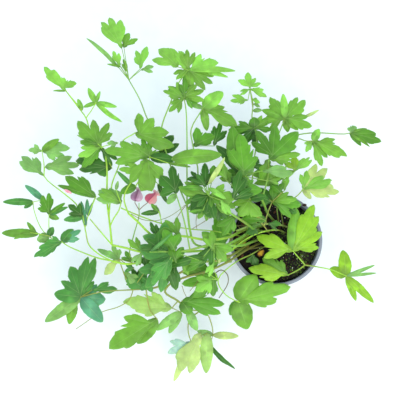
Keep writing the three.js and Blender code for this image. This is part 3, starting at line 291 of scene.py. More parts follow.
# The leafy stems. Each has its name, finish, root in the soil and tone, and its stems: the
# radius in millimetres and the route
STEMS = (
    ("top", "leaf_green", (-18, 26), "green_stem", (
        (2.2, (
            (252, 230, 192), (240, 238, 222), (222, 246, 240), (204, 247, 246), (194, 243, 250),
            (190, 230, 255), (187, 206, 262))),
        (1.2, ((187, 206, 262), (187, 165, 272), (187, 140, 277), (186, 110, 280), (184, 98, 282))),
        (1.2, ((187, 206, 262), (198, 176, 264), (193, 146, 264), (191, 130, 268), (203, 108, 274))),
        (1.2, (
            (187, 206, 262), (172, 170, 260), (160, 136, 257), (148, 120, 250), (140, 100, 240),
            (129, 80, 232))),
        (1.2, ((160, 136, 257), (163, 122, 257), (170, 104, 270), (178, 84, 279), (188, 70, 280))),
    )),
    ("upper_right", "leaf_green", (-2, 34), "green_stem", (
        (2.2, ((268, 214, 200), (262, 200, 228), (252, 184, 248), (246, 176, 258))),
        (1.2, (
            (252, 184, 248), (254, 160, 236), (257, 138, 230), (252, 118, 230), (253, 104, 232),
            (250, 89, 234))),
        (1.2, ((262, 200, 228), (268, 176, 240), (269, 159, 246), (278, 136, 236), (285, 118, 234))),
    )),
    ("right", "leaf_green", (6, 30), "green_stem", (
        (1.2, (
            (277, 205, 184), (283, 180, 206), (289, 155, 216), (298, 139, 218), (306, 141, 216),
            (313, 141, 214))),
        (1.2, ((289, 155, 216), (292, 138, 210), (310, 133, 205), (344, 134, 202), (350, 133, 200))),
        (1.2, ((283, 180, 206), (290, 176, 206), (295, 171, 208))),
    )),
    ("pale", "leaf_pale", (14, 24), "lime_stem", (
        (1.2, ((282, 207, 172), (292, 200, 184), (300, 193, 190), (303, 189, 192))),
    )),
    ("golden", "leaf_gold", (44, -30), "lime_stem", (
        (1.2, ((304, 263, 176), (305, 265, 186))),
        (1.2, ((305, 265, 186), (299, 258, 192), (293, 251, 198))),
        (1.2, ((305, 265, 186), (298, 270, 186), (288, 275, 184))),
        (1.2, ((305, 265, 186), (318, 267, 184), (332, 270, 182), (346, 276, 180))),
    )),
    ("below", "leaf_green", (-20, -12), "lime_stem", (
        (1.2, (
            (252, 254, 176), (236, 262, 182), (218, 280, 178), (224, 293, 174), (236, 301, 171),
            (248, 304, 169))),
    )),
    ("bottom", "leaf_green", (-28, -6), "olive_stem", (
        (2.2, (
            (246, 250, 182), (226, 263, 194), (205, 272, 198), (186, 277, 196), (170, 284, 190),
            (165, 292, 184), (178, 301, 172), (188, 310, 162))),
        (1.2, ((188, 310, 162), (200, 311, 156), (207, 314, 148), (212, 326, 134), (213, 335, 124))),
        (1.2, ((200, 311, 156), (190, 319, 144), (188, 330, 130), (191, 342, 118))),
        (1.2, ((178, 301, 172), (172, 308, 164))),
    )),
    ("lower_left", "leaf_cool", (-32, 4), "olive_stem", (
        (2.2, (
            (244, 247, 182), (224, 259, 205), (200, 263, 212), (178, 274, 210), (160, 286, 206),
            (146, 289, 202), (134, 287, 196))),
        (1.2, ((146, 289, 202), (128, 290, 192), (110, 291, 180), (96, 293, 168), (81, 297, 160))),
        (1.2, ((134, 287, 196), (126, 278, 196), (122, 268, 196), (119, 259, 198))),
        (0.9, ((134, 287, 196), (129, 300, 176), (118, 307, 160), (102, 312, 146), (76, 329, 128))),
        (1.2, ((146, 289, 202), (150, 310, 176), (157, 319, 162))),
    )),
    ("far_left", "leaf_cool", (-34, 13), "lime_stem", (
        (2.2, (
            (240, 244, 188), (222, 254, 217), (196, 257, 224), (170, 260, 226), (145, 262, 224),
            (126, 264, 222), (112, 261, 220))),
        (1.2, ((112, 261, 220), (98, 258, 216), (84, 253, 210), (68, 246, 202), (62, 242, 200))),
        (1.2, (
            (112, 261, 220), (100, 255, 222), (89, 245, 224), (86, 233, 226), (85, 227, 228),
            (88, 216, 230))),
        (0.9, ((62, 242, 200), (51, 238, 190), (41, 228, 180), (34, 210, 174), (33, 202, 172))),
        (0.9, ((51, 238, 190), (49, 228, 186), (49, 215, 184))),
        (1.2, (
            (85, 227, 228), (80, 212, 216), (76, 204, 210), (62, 192, 200), (48, 181, 192),
            (44, 176, 188))),
        (0.9, ((44, 176, 188), (44, 165, 188), (42, 151, 188))),
    )),
    ("left", "leaf_green", (-30, 22), "lime_stem", (
        (2.2, (
            (240, 240, 194), (224, 249, 230), (200, 251, 238), (170, 252, 242), (142, 252, 240),
            (126, 248, 238), (112, 245, 236))),
        (1.7, ((112, 245, 236), (110, 226, 238), (107, 200, 242), (107, 170, 246), (105, 150, 248))),
        (1.2, (
            (105, 150, 248), (97, 143, 250), (90, 131, 242), (86, 118, 236), (78, 107, 230),
            (66, 91, 224))),
        (0.9, ((86, 118, 236), (91, 111, 236), (96, 103, 236))),
        (1.2, ((110, 226, 238), (114, 218, 246), (119, 210, 252), (121, 203, 254))),
        (1.2, (
            (109, 215, 240), (112, 184, 244), (118, 168, 246), (122, 155, 250), (122, 142, 256),
            (135, 133, 262))),
        (1.2, ((112, 245, 236), (100, 231, 236), (90, 219, 240))),
    )),
    ("middle_left", "leaf_green", (-26, 31), "lime_stem", (
        (2.2, (
            (240, 232, 200), (226, 238, 252), (207, 240, 258), (180, 236, 258), (160, 240, 256),
            (148, 232, 256), (138, 222, 258), (128, 213, 262))),
        (1.2, ((128, 213, 262), (124, 198, 268), (130, 184, 270), (145, 172, 270))),
        (1.2, ((145, 172, 270), (148, 164, 266), (150, 157, 264))),
        (0.9, ((160, 240, 256), (162, 226, 260), (159, 212, 264))),
    )),
    ("middle", "leaf_deep", (-22, 4), "green_stem", (
        (2.2, ((252, 242, 200), (236, 246, 262), (214, 244, 272), (190, 250, 274), (174, 252, 274))),
        (1.2, ((190, 250, 274), (184, 220, 278), (176, 194, 282))),
    )),
    ("centre", "leaf_green", (-12, 14), "green_stem", (
        (2.2, ((256, 230, 210), (244, 222, 262), (226, 210, 284), (209, 196, 292))),
        (1.2, ((226, 210, 284), (232, 196, 288), (236, 190, 290))),
    )),
    ("crown", "leaf_green", (-8, 6), "olive_stem", (
        (1.2, ((264, 226, 216), (256, 214, 240), (252, 204, 262), (250, 199, 270))),
        (1.2, ((264, 226, 216), (268, 212, 214), (272, 202, 214))),
    )),
    ("rim", "leaf_green", (-52, 6), "lime_stem", (
        (1.2, ((236, 244, 172), (229, 248, 178), (224, 251, 180))),
    )),
)

# The compound leaves: the stem they grow on, the fork of their stalks, and their leaflets. A
# leaflet has its tone, its base, the tips of its lobes, its width, the fall of its tips below
# its base, and its roll in degrees where it is turned over. A program picked most of the tones
# here, each the nearest to the photo's colour under the leaflet. The small leaves' tones, at
# the end, were picked one by one
# The tones paint in light and shade: leaflets lying under others take the deep tone as painted
# shade, and leaflets in full light the fresh tone as painted light
LEAVES = (
    ("top", (129, 80, 232), (
        ("fresh", (122, 49, 236), ((109, 37), (101, 22), (109, 17), (121, 21)), 15, 10),
        ("mid", (124, 48, 234), ((129, 33), (138, 39)), 20, 4),
        ("hazy", (119, 68, 230), ((86, 38),), 8, 8, 12),
        ("fresh", (120, 66, 236), ((113, 51), (119, 53)), 12, 0),
        ("mid", (121, 67, 234), ((107, 64),), 5, 2),
        ("fresh", (122, 64, 232), ((128, 72),), 6, 3),
        ("mid", (127, 68, 228), ((123, 59),), 6, 6),
        ("fresh", (140, 69, 234), ((134, 59), (136, 51), (147, 46)), 12, 4),
        ("hazy", (141, 70, 230), ((154, 66), (153, 73)), 9, 8),
    )),
    ("top", (188, 70, 280), (
        ("fresh", (178, 67, 284), ((152, 60), (158, 49)), 26, 10),
        ("fresh", (180, 68, 285), ((170, 48), (181, 52)), 22, 8),
        ("mid", (187, 68, 286), ((181, 53), (187, 49), (195, 52)), 14, 0),
        ("fresh", (191, 68, 284), ((201, 54), (219, 63)), 14, 4),
        ("fresh", (197, 69, 276), ((236, 71),), 11, 4),
        ("fresh", (200, 70, 275), ((228, 77),), 9, 5),
        ("mid", (193, 75, 280), ((214, 76), (213, 84), (205, 90)), 14, 8),
        ("mid", (190, 75, 282), ((192, 92),), 14, 6),
        ("leaf", (186, 75, 276), ((184, 92),), 12, 6),
        ("mid", (186, 72, 278), ((173, 74), (176, 80)), 9, 4),
    )),
    ("top", (184, 98, 282), (
        ("mid", (183, 95, 286), ((170, 98), (163, 91), (168, 86), (177, 82)), 14, 6),
        ("mid", (184, 99, 278), ((180, 113), (169, 112), (172, 103)), 13, 12),
        ("mid", (190, 98, 284), ((192, 88), (204, 90), (205, 101)), 14, 8),
    )),
    ("top", (203, 108, 274), (
        ("fresh", (205, 106, 276), ((223, 92),), 24, 6),
        ("mid", (208, 109, 272), ((224, 108), (238, 126)), 22, 10),
        ("mid", (206, 111, 270), ((207, 131),), 14, 10),
        ("hazy", (200, 107, 272), ((189, 104),), 9, 4),
    )),
    ("top", (187, 150, 277), (
        ("mid", (172, 159, 290), ((222, 155),), 25, 2),
    )),
    ("top", (193, 146, 264), (
        ("leaf", (200, 148, 262), ((196, 128), (215, 136)), 18, 4),
        ("deep", (214, 146, 256), ((214, 126), (221, 122), (227, 131)), 14, 6),
    )),
    ("upper_right", (250, 89, 234), (
        ("fresh", (250, 88, 236), ((238, 80), (248, 72), (256, 78), (261, 83)), 9, 2),
        ("fresh", (252, 97, 234), ((255, 89), (264, 90), (267, 97)), 8, 2),
        ("fresh", (248, 100, 232), ((240, 105), (230, 101), (232, 95)), 8, 4),
        ("hazy", (253, 104, 232), ((259, 101), (260, 107)), 6, 4),
        ("hazy", (253, 111, 228), ((262, 110),), 8, 4),
    )),
    ("upper_right", (254.5, 128, 230), (
        ("leaf", (251, 133, 236), ((254, 117),), 20, 2),
        ("leaf", (248, 128, 226), ((239, 122), (228, 130)), 10, 4),
        ("deep", (252, 131, 222), ((246, 143),), 14, 4),
        ("leaf", (257, 127, 232), ((270, 121), (272, 130)), 12, 4),
    )),
    ("upper_right", (285, 118, 234), (
        ("fresh", (284, 117, 236), ((283, 94),), 14, 2),
        ("mid", (286, 117, 238), ((298, 97), (305, 100)), 26, 6),
        ("mid", (288, 119, 236), ((308, 117), (312, 126)), 24, 8),
        ("mid", (287, 120, 235), ((298, 130),), 14, 8),
        ("mid", (281, 118, 234), ((262, 110),), 16, 8),
        ("mid", (282, 117, 235), ((270, 97), (277, 103)), 24, 8),
        ("mid", (281, 119, 228), ((260, 122), (270, 131)), 18, 6),
        ("mid", (286, 120, 230), ((288, 132),), 14, 6),
        ("pale", (304, 117, 222), ((319, 110),), 6, 4, 30),
    )),
    ("upper_right", (269, 159, 246), (
        ("leaf", (268, 158, 252), ((251, 141), (256, 130), (275, 125), (298, 132)), 34, 6),
        ("mid", (271, 157, 248), ((294, 145), (300, 154), (288, 162)), 24, 8),
        ("mid", (268, 163, 236), ((261, 180), (273, 179)), 22, 8),
    )),
    ("upper_right", (246, 176, 258), (
        ("leaf", (236, 168, 276), ((232, 126),), 26, 4),
        ("leaf", (244, 177, 284), ((228, 150), (239, 134), (258, 158)), 30, 6),
        ("hazy", (251, 176, 256), ((253, 166),), 14, 4),
        ("deep", (242, 172, 262), ((216, 145),), 20, 6),
        ("deep", (243, 179, 254), ((231, 188),), 15, 6),
        ("leaf", (241, 177, 256), ((222, 172), (226, 182)), 14, 4),
    )),
    ("right", (313, 141, 214), (
        ("fresh", (313, 140, 216), ((319, 129),), 15, 2),
        ("mid", (314, 139, 214), ((334, 140), (347, 156), (339, 158)), 18, 6),
        ("mid", (312, 142, 212), ((327, 158), (322, 166)), 17, 8),
        ("fresh", (311, 142, 212), ((304, 143), (306, 152)), 9, 4),
    )),
    ("right", (350, 133, 200), (
        ("mid", (351, 133, 200), ((367, 129),), 7.5, 6),
        ("leaf", (351, 133, 200.5), ((375, 134), (382, 142)), 8.5, 7),
        ("mid", (351, 133, 200), ((370, 147),), 7, 7),
        ("leaf", (351, 133, 199.5), ((361, 146),), 10, 8),
        ("hazy", (351, 132, 202), ((357, 127), (347, 128)), 6, 4),
    )),
    ("right", (295, 171, 208), (
        ("fresh", (296, 171, 212), ((304, 158), (310, 157), (312, 160)), 8, 2),
        ("gold", (294, 169, 214), ((284, 163), (294, 156)), 15, 4),
        ("mid", (292, 171, 209), ((272, 173), (251, 175)), 10, 0),
        ("mid", (288, 177, 204), ((253, 184), (262, 178)), 12, 2),
    )),
    ("pale", (303, 189, 192), (
        ("fresh", (305, 187, 196), ((300, 174), (307, 170)), 13, 2),
        ("pale", (307, 184, 194), ((316, 164), (328, 168)), 17, 4),
        ("fresh", (308, 187, 200), ((323, 176), (333, 180), (325, 184)), 14, 6),
        ("pale", (308, 190, 192), ((332, 186), (340, 192), (323, 198)), 20, 8),
        ("pale", (305, 192, 190), ((311, 199),), 11, 4),
    )),
    ("golden", (293, 251, 198), (
        ("mid", (293, 250, 200), ((296, 208),), 26, 6),
        ("gold", (294, 249, 202), ((314, 205), (319, 216)), 19, 8),
        ("gold", (294, 250, 197), ((322, 232), (318, 248)), 19, 10),
        ("gold", (291, 251, 199), ((257, 236), (264, 258)), 26, 8),
    )),
    ("golden", (288, 275, 184), (
        ("gold", (288, 275, 186), ((248, 268), (264, 280)), 15, 6),
        ("mid", (287, 273, 180), ((262, 258), (281, 260)), 18, 4),
    )),
    ("golden", (346, 276, 180), (
        ("gold", (345, 275, 182), ((343, 250),), 23, 6),
        ("gold", (345, 277, 180), ((330, 268),), 20, 6),
        ("hazy", (347, 275, 180), ((375, 265),), 7, 6),
        ("hazy", (347, 275, 178), ((377, 273),), 6, 8),
        ("gold", (345, 280, 178), ((356, 301),), 13, 14),
        ("gold", (346, 280, 179), ((374, 303),), 15, 14),
    )),
    ("below", (238, 301, 170), (
        ("mid", (240, 300, 171), ((256, 275),), 42, -3),
        ("mid", (241, 301, 170), ((290, 287), (277, 302)), 36, -2),
        ("mid", (240, 302, 168), ((247, 329),), 38, 12),
        ("leaf", (240, 302, 166), ((230, 315),), 18, 8),
    )),
    ("below", (218, 280, 178), (
        ("leaf", (216, 277, 182), ((182, 266), (181, 284), (192, 298), (213, 297)), 40, 4),
    )),
    ("below", (252, 254, 176), (
        ("deep", (254, 256, 177), ((246, 262), (257, 266)), 13, 4),
    )),
    ("bottom", (182, 301, 171), (
        ("leaf", (183, 300, 172), ((191, 314),), 24, 6),
        ("leaf", (184, 300, 174), ((205, 291), (224, 304), (221, 314)), 32, 6),
    )),
    ("bottom", (188, 310, 162), (
        ("hazy", (190, 312, 152), ((197, 331),), 17, 12),
    )),
    ("bottom", (172, 308, 164), (
        ("hazy", (181, 312, 166), ((156, 330),), 17, 16),
        ("hazy", (181, 312, 165), ((169, 333),), 15, 18),
        ("soft", (171, 308, 170), ((152, 292), (123, 302), (136, 309)), 34, 10),
    )),
    ("bottom", (191, 342, 118), (
        ("pale", (201, 333, 126), ((179, 372), (190, 372)), 38, 28),
        ("soft", (207, 333, 128), ((206, 373),), 24, 30),
        ("mint", (189, 338, 112), ((168, 353), (172, 340)), 18, 18),
        ("pale", (190, 345, 104), ((174, 381),), 14, 30),
    )),
    ("bottom", (213, 335, 124), (
        ("pale", (215, 331, 126), ((239, 336),), 14, 10),
        ("hazy", (211, 334, 128), ((197, 331),), 12, 4),
        ("deep", (210, 345, 108), ((235, 369),), 12, 20, 40),
    )),
    ("lower_left", (81, 297, 160), (
        ("cool", (79, 293, 164), ((70, 266), (61, 281)), 30, 6),
        ("cool", (78, 297, 163), ((54, 294),), 26, 6),
        ("cool", (83, 293, 158), ((88, 256), (95, 258)), 22, -2),
        ("cool", (84, 294, 159), ((94, 281),), 14, 2),
        ("hazy", (76, 300, 154), ((45, 322),), 23, 16),
        ("mid", (75, 301, 152), ((69, 324),), 19, 16),
        ("blue", (84, 296, 154), ((97, 284), (106, 299)), 30, 6),
        ("blue", (85, 298, 155), ((103, 322),), 27, 10),
        ("cool", (92, 290, 164), ((109, 282), (118, 289)), 14, 4),
    )),
    ("lower_left", (119, 259, 198), (
        ("hazy", (122, 264, 200), ((106, 251), (112, 245), (120, 249)), 16, 4),
        ("hazy", (126, 258, 204), ((97, 249),), 11, 8),
        ("pale", (122, 264, 196), ((107, 272), (104, 275)), 15, 8),
        ("fresh", (124, 262, 192), ((113, 258),), 12, 4),
    )),
    ("lower_left", (157, 319, 162), (
        ("mid", (156, 318, 164), ((126, 316), (109, 349)), 28, 22),
        ("mid", (156, 319, 163), ((137, 344),), 26, 24),
    )),
    ("lower_left", (134, 287, 196), (
        ("hazy", (140, 287, 192), ((125, 271),), 15, 4),
        ("deep", (140, 280, 186), ((131, 268), (139, 270)), 10, 4),
    )),
    ("lower_left", (146, 289, 202), (
        ("cool", (147, 288, 206), ((127, 277), (141, 270), (158, 274)), 26, 2),
    )),
    ("far_left", (62, 242, 200), (
        ("cool", (61, 242, 202), ((48, 253), (34, 257), (40, 247)), 15, 10),
        ("cool", (60, 240, 204), ((46, 241), (52, 236)), 10, 4),
        ("cool", (64, 241, 204), ((73, 229),), 19, 4),
        ("blue", (66, 245, 202), ((81, 230), (80, 239)), 14, 4),
    )),
    ("far_left", (49, 236, 190), (
        ("mid", (38, 234, 184), ((1, 233),), 17, 12),
        ("mid", (36, 233, 185), ((27, 222),), 8, 4),
        ("mid", (28, 232, 184), ((14, 239),), 8, 4),
        ("cool", (41, 235, 190), ((53, 227),), 13, 0),
        ("hazy", (49, 236, 188), ((37, 240),), 18, 6),
    )),
    ("far_left", (33, 202, 172), (
        ("cool", (30, 200, 172), ((3, 202),), 13, 8),
        ("cool", (30, 201, 168), ((24, 208),), 10, 6),
        ("blue", (43, 200, 176), ((25, 185),), 12, 6, 20),
    )),
    ("far_left", (49, 215, 184), (
        ("leaf", (50, 213, 186), ((38, 209), (42, 195), (49, 193)), 16, 8),
        ("leaf", (50, 212, 187), ((65, 203),), 10, 6),
        ("mid", (51, 214, 184), ((59, 219),), 11, 4),
        ("cool", (52, 213, 182), ((68, 207),), 9, 2),
    )),
    ("far_left", (85, 227, 228), (
        ("deep", (83, 216, 240), ((68, 205), (69, 214), (80, 203)), 18, 4),
        ("cool", (83, 217, 238), ((64, 220),), 13, 6),
    )),
    ("far_left", (88, 216, 230), (
        ("blue", (86, 226, 232), ((81, 201),), 9, 4),
        ("blue", (86, 224, 234), ((87, 199),), 8, 2),
        ("blue", (88, 216, 232), ((93, 202),), 6, 0),
        ("leaf", (96, 197, 246), ((65, 176), (82, 177)), 22, 4),
        ("leaf", (95, 197, 244), ((57, 185),), 11, 2),
    )),
    ("far_left", (44, 176, 188), (
        ("hazy", (44, 175, 186), ((20, 162), (21, 156), (38, 159)), 12, 12),
        ("hazy", (45, 167, 192), ((72, 157), (80, 165), (74, 174)), 26, 6),
    )),
    ("far_left", (42, 151, 188), (
        ("hazy", (41, 150, 186), ((28, 150), (36, 145), (36, 155)), 10, 8),
        ("mid", (44, 149, 190), ((59, 139),), 15, 4),
        ("hazy", (45, 151, 186), ((70, 148), (66, 158), (55, 162)), 24, 8),
    )),
    ("left", (142, 252, 240), (
        ("mid", (140, 250, 244), ((128, 239), (136, 237)), 12, 4),
        ("hazy", (143, 254, 242), ((131, 262), (136, 266)), 10, 6),
        ("deep", (146, 256, 238), ((148, 270), (158, 268)), 12, 8),
    )),
    ("left", (101, 147, 250), (
        ("mid", (101, 146, 256), ((78, 121), (93, 120), (109, 123), (113, 133)), 28, 8),
        ("hazy", (98, 141, 252), ((77, 135),), 6, 4),
        ("mid", (98, 146, 250), ((80, 141), (88, 139)), 11, 6),
        ("fresh", (99, 148, 250), ((78, 156), (81, 148)), 17, 8),
        ("leaf", (100, 149, 246), ((82, 168), (92, 160)), 18, 8),
        ("deep", (112, 168, 240), ((75, 161), (80, 170), (98, 174)), 34, 6),
    )),
    ("left", (66, 91, 224), (
        ("fresh", (66, 91, 226), ((44, 67), (56, 73), (65, 79), (77, 83)), 14, 6),
        ("mid", (67, 93, 224), ((53, 91),), 4, 0),
        ("fresh", (82, 110, 232), ((78, 99),), 9, 2),
    )),
    ("left", (96, 103, 236), (
        ("fresh", (96, 103, 238), ((88, 88),), 11, 4),
        ("fresh", (97, 102, 238), ((100, 91),), 7, 4),
        ("fresh", (98, 102, 237), ((117, 107),), 10, 6),
        ("fresh", (97, 104, 234), ((122, 122),), 10, 10, 40),
        ("fresh", (95, 104, 232), ((83, 107),), 8, 4),
    )),
    ("left", (121, 203, 254), (
        ("hazy", (121, 203, 256), ((96, 199), (98, 190), (110, 189)), 24, 8),
        ("hazy", (121, 203, 258), ((112, 203), (117, 190)), 12, 4),
    )),
    ("left", (135, 133, 262), (
        ("mid", (136, 133, 264), ((138, 112), (154, 118), (169, 133), (175, 147)), 28, 6),
    )),
    ("middle_left", (180, 236, 258), (
        ("mid", (178, 232, 264), ((165, 220), (177, 217)), 15, 4),
    )),
    ("middle_left", (159, 212, 264), (
        ("deep", (155, 211, 266), ((141, 214),), 9, 4),
        ("leaf", (157, 208, 268), ((151, 204),), 8, 4),
    )),
    ("middle_left", (145, 172, 270), (
        ("mid", (147, 159, 276), ((130, 183), (141, 192)), 40, 6),
        ("mid", (148, 160, 278), ((152, 192), (163, 180)), 38, 6),
        ("mid", (143, 171, 272), ((119, 169), (128, 163)), 12, 4),
        ("leaf", (136, 186, 266), ((120, 193),), 15, 4),
        ("deep", (158, 184, 262), ((167, 203),), 9, 6),
        ("cool", (134, 188, 264), ((117, 171),), 8, 4),
    )),
    ("middle_left", (150, 157, 264), (
        ("mid", (150, 158, 268), ((115, 164), (105, 150), (120, 142), (136, 144)), 28, 8),
        ("leaf", (153, 157, 262), ((142, 138), (150, 137)), 13, 6),
        ("deep", (158, 158, 247), ((174, 135), (179, 144)), 22, 6),
        ("deep", (152, 164, 270), ((176, 160),), 18, 4),
        ("mid", (147, 163, 267), ((139, 149), (151, 149), (163, 156)), 20, 2),
        ("mid", (168, 163, 270), ((191, 167),), 6, 2),
    )),
    ("middle_left", (160, 240, 256), (
        ("deep", (158, 238, 258), ((150, 222), (156, 224)), 9, 4),
    )),
    ("middle", (174, 252, 274), (
        ("cool", (172, 252, 276), ((138, 246), (143, 236), (165, 222)), 36, 8),
        ("leaf", (174, 254, 280), ((164, 226), (180, 232)), 30, 2),
        ("cool", (172, 256, 272), ((150, 262), (150, 278), (166, 277)), 26, 12),
        ("leaf", (176, 256, 270), ((183, 246), (181, 262)), 14, 4),
        ("deep", (174, 262, 262), ((165, 277), (176, 290)), 17, 8),
        ("cool", (169, 264, 254), ((138, 270), (145, 288), (161, 293)), 30, 8),
    )),
    ("middle", (176, 194, 282), (
        ("deep", (175, 192, 284), ((160, 196), (160, 176), (172, 165), (180, 180)), 24, 8),
        ("hazy", (174, 193, 280), ((167, 204),), 12, 6),
    )),
    ("middle", (214, 244, 272), (
        ("mid", (210, 250, 278), ((203, 234), (213, 234)), 16, 2),
        ("mid", (216, 248, 278), ((226, 262), (234, 250)), 16, 6),
        ("deep", (212, 252, 276), ((197, 268), (212, 268), (220, 262)), 22, 8),
        ("deep", (204, 256, 274), ((166, 267),), 14, 8),
    )),
    ("centre", (209, 196, 292), (
        ("deep", (206, 186, 284), ((198, 176), (205, 163), (218, 167)), 22, 4),
        ("pale", (208, 184, 302), ((225, 157),), 9, 0, 30),
        ("leaf", (206, 190, 294), ((180, 190), (190, 183)), 15, 8),
        ("mid", (204, 194, 290), ((184, 194),), 13, 6),
        ("mid", (210, 192, 298), ((236, 198), (224, 184)), 24, 6),
        ("deep", (206, 200, 288), ((190, 212), (213, 218)), 24, 10),
        ("mid", (214, 200, 282), ((236, 208), (230, 215)), 14, 8),
    )),
    ("centre", (236, 190, 290), (
        ("deep", (236, 192, 300), ((231, 176), (247, 178)), 20, 6),
        ("leaf", (222, 176, 290), ((223, 163),), 14, 4),
        ("leaf", (237, 194, 296), ((262, 190),), 22, 8),
    )),
    ("centre", (235, 216, 273), (
        ("leaf", (230, 216, 276), ((214, 216), (216, 226)), 14, 6),
        ("leaf", (232, 218, 274), ((222, 236), (234, 232)), 16, 8),
    )),
    ("crown", (250, 199, 270), (
        ("mid", (254, 202, 274), ((232, 204), (238, 216), (262, 216)), 28, 6),
        ("deep", (251, 199, 268), ((266, 196),), 14, 4),
    )),
    ("crown", (272, 202, 214), (
        ("leaf", (275, 202, 218), ((271, 184), (281, 184)), 17, 4),
        ("leaf", (280, 200, 212), ((301, 205), (290, 218)), 26, 10),
        ("deep", (270, 200, 210), ((259, 188),), 18, 4),
        ("mid", (284, 191, 222), ((283, 178), (288, 175)), 8, 0),
    )),
    ("crown", (257, 216, 236), (
        ("leaf", (266, 221, 232), ((235, 209), (240, 220)), 26, 6),
    )),
    ("rim", (224, 251, 180), (
        ("mid", (222, 250, 182), ((202, 232), (204, 250)), 26, 4),
        ("leaf", (226, 245, 184), ((216, 213), (229, 214)), 24, 0),
        ("mid", (225, 250, 178), ((217, 263), (232, 262)), 17, 6),
    )),

    # Small leaves that fill the crowns between the large ones
    ("centre", (209, 196, 292), (
        ("mid", (203, 189, 298), ((178, 187), (184, 182)), 9, 2),
        ("deep", (200, 179, 276), ((187, 179), (191, 171)), 10, 2),
        ("leaf", (212, 179, 286), ((214, 165), (222, 172)), 12, 3),
        ("leaf", (203, 199, 281), ((185, 203), (188, 210)), 12, 4),
        ("mid", (208, 206, 280), ((198, 219), (207, 221)), 13, 6),
        ("deep", (216, 206, 278), ((218, 222), (229, 220)), 14, 6),
        ("deep", (206, 187, 301), ((191, 180), (196, 174)), 11, 2),
        ("leaf", (203, 188, 304), ((180, 188),), 9, 3),
        ("fresh", (209, 188, 307), ((226, 199),), 9, 4),
        ("leaf", (210, 190, 305), ((219, 204), (211, 207)), 12, 4),
        ("deep", (206, 196, 305), ((197, 207), (190, 200)), 12, 3),
        ("deep", (208, 201, 303), ((215, 220), (206, 214)), 13, 6),
        ("leaf", (203, 210, 296), ((189, 212),), 5, 2),
        ("fresh", (220, 200, 304), ((231, 214), (226, 214)), 10, 5),
    )),
    ("centre", (236, 190, 290), (
        ("leaf", (240, 186, 284), ((254, 180), (257, 187)), 12, 4),
        ("mid", (231, 183, 282), ((226, 171), (219, 178)), 12, 3),
        ("deep", (233, 199, 304), ((241, 170), (247, 178)), 15, 4),
        ("deep", (234, 200, 302), ((252, 188), (254, 194)), 12, 4),
        ("mid", (226, 180, 296), ((217, 170), (223, 164)), 11, 3),
        ("deep", (238, 200, 262), ((250, 206), (240, 212)), 13, 4),
    )),
    ("top", (184, 98, 282), (
        ("leaf", (187, 91, 284), ((179, 84), (185, 78)), 12, 2),
        ("mid", (186, 89, 285), ((197, 84), (200, 92)), 12, 2),
        ("leaf", (186, 101, 279), ((192, 109), (198, 103)), 12, 4),
        ("leaf", (178, 88, 281), ((172, 94), (168, 90)), 10, 2),
    )),
    ("upper_right", (240, 176, 258), (
        ("mid", (268, 181, 262), ((281, 178), (279, 184)), 9, 2),
        ("hazy", (262, 171, 266), ((294, 174), (284, 167)), 12, 4),
        ("deep", (252, 167, 238), ((258, 158), (264, 167)), 12, 2),
    )),
    ("upper_right", (254.5, 128, 230), (
        ("deep", (250, 135, 224), ((237, 133), (240, 142)), 12, 2),
        ("deep", (257, 135, 222), ((264, 143), (256, 148)), 12, 2),
        ("mid", (258, 122, 232), ((262, 115), (268, 120)), 9, 2),
    )),
    ("upper_right", (250, 89, 234), (
        ("fresh", (248, 95, 235), ((240, 91), (240, 95)), 6, 0),
        ("fresh", (252, 99, 235), ((260, 103), (257, 98)), 8, 0),
        ("fresh", (252, 95, 235), ((262, 91), (265, 96)), 8, 0),
    )),
    ("middle", (174, 252, 274), (
        ("deep", (159, 251, 290), ((140, 250), (146, 239), (158, 232)), 22, 4),
        ("cool", (150, 252, 294), ((173, 232),), 6, 0, 20),
        ("leaf", (175, 250, 292), ((163, 230), (181, 234)), 20, 3),
        ("leaf", (176, 262, 286), ((170, 246), (181, 248)), 13, 3),
        ("cool", (170, 259, 290), ((151, 270), (152, 284), (165, 280)), 24, 8),
        ("deep", (166, 262, 262), ((176, 290), (166, 280)), 12, 6),
        ("leaf", (204, 262, 276), ((186, 271), (183, 263)), 12, 4),
        ("mid", (180, 262, 268), ((196, 266), (188, 275)), 13, 4),
    )),
    ("middle", (214, 244, 272), (
        ("pale", (219, 264, 272), ((222, 250), (217, 252)), 7, 0),
        ("fresh", (214, 262, 278), ((205, 273), (209, 277)), 7, 2),
        ("mid", (212, 250, 284), ((204, 238), (212, 230)), 13, 2),
    )),
    ("crown", (272, 202, 214), (
        ("deep", (262, 193, 222), ((254, 187), (250, 195)), 12, 2),
        ("leaf", (281, 193, 226), ((272, 185), (284, 183)), 12, 3),
        ("deep", (270, 199, 226), ((255, 195), (261, 206)), 18, 3),
        ("mid", (278, 200, 224), ((289, 192), (297, 199)), 14, 3),
        ("deep", (290, 206, 206), ((297, 213), (286, 216)), 14, 4),
    )),
    ("crown", (257, 216, 236), (
        ("leaf", (262, 225, 226), ((250, 228), (243, 223)), 12, 3),
        ("deep", (256, 227, 222), ((246, 233), (258, 234)), 10, 3),
        ("deep", (268, 224, 222), ((281, 224), (276, 230)), 12, 3),
    )),
    ("left", (121, 203, 254), (
        ("mid", (118, 196, 266), ((98, 194), (101, 188)), 12, 3),
        ("hazy", (116, 190, 268), ((118, 181),), 6, 2),
    )),
    ("left", (101, 147, 250), (
        ("leaf", (98, 144, 266), ((80, 143), (84, 139)), 9, 2),
        ("deep", (109, 150, 244), ((118, 160), (112, 166)), 12, 4),
        ("hazy", (118, 143, 260), ((107, 143), (110, 150)), 8, 2),
    )),
    ("lower_left", (119, 259, 198), (
        ("leaf", (132, 262, 206), ((121, 258), (125, 251)), 10, 2),
        ("cool", (134, 269, 204), ((126, 264), (125, 272)), 10, 3),
        ("deep", (140, 265, 208), ((132, 259), (140, 254)), 10, 3),
    )),
    ("lower_left", (134, 287, 196), (
        ("hazy", (127, 273, 208), ((139, 277), (136, 285)), 13, 4),
        ("cool", (137, 281, 206), ((128, 276), (126, 285)), 11, 4),
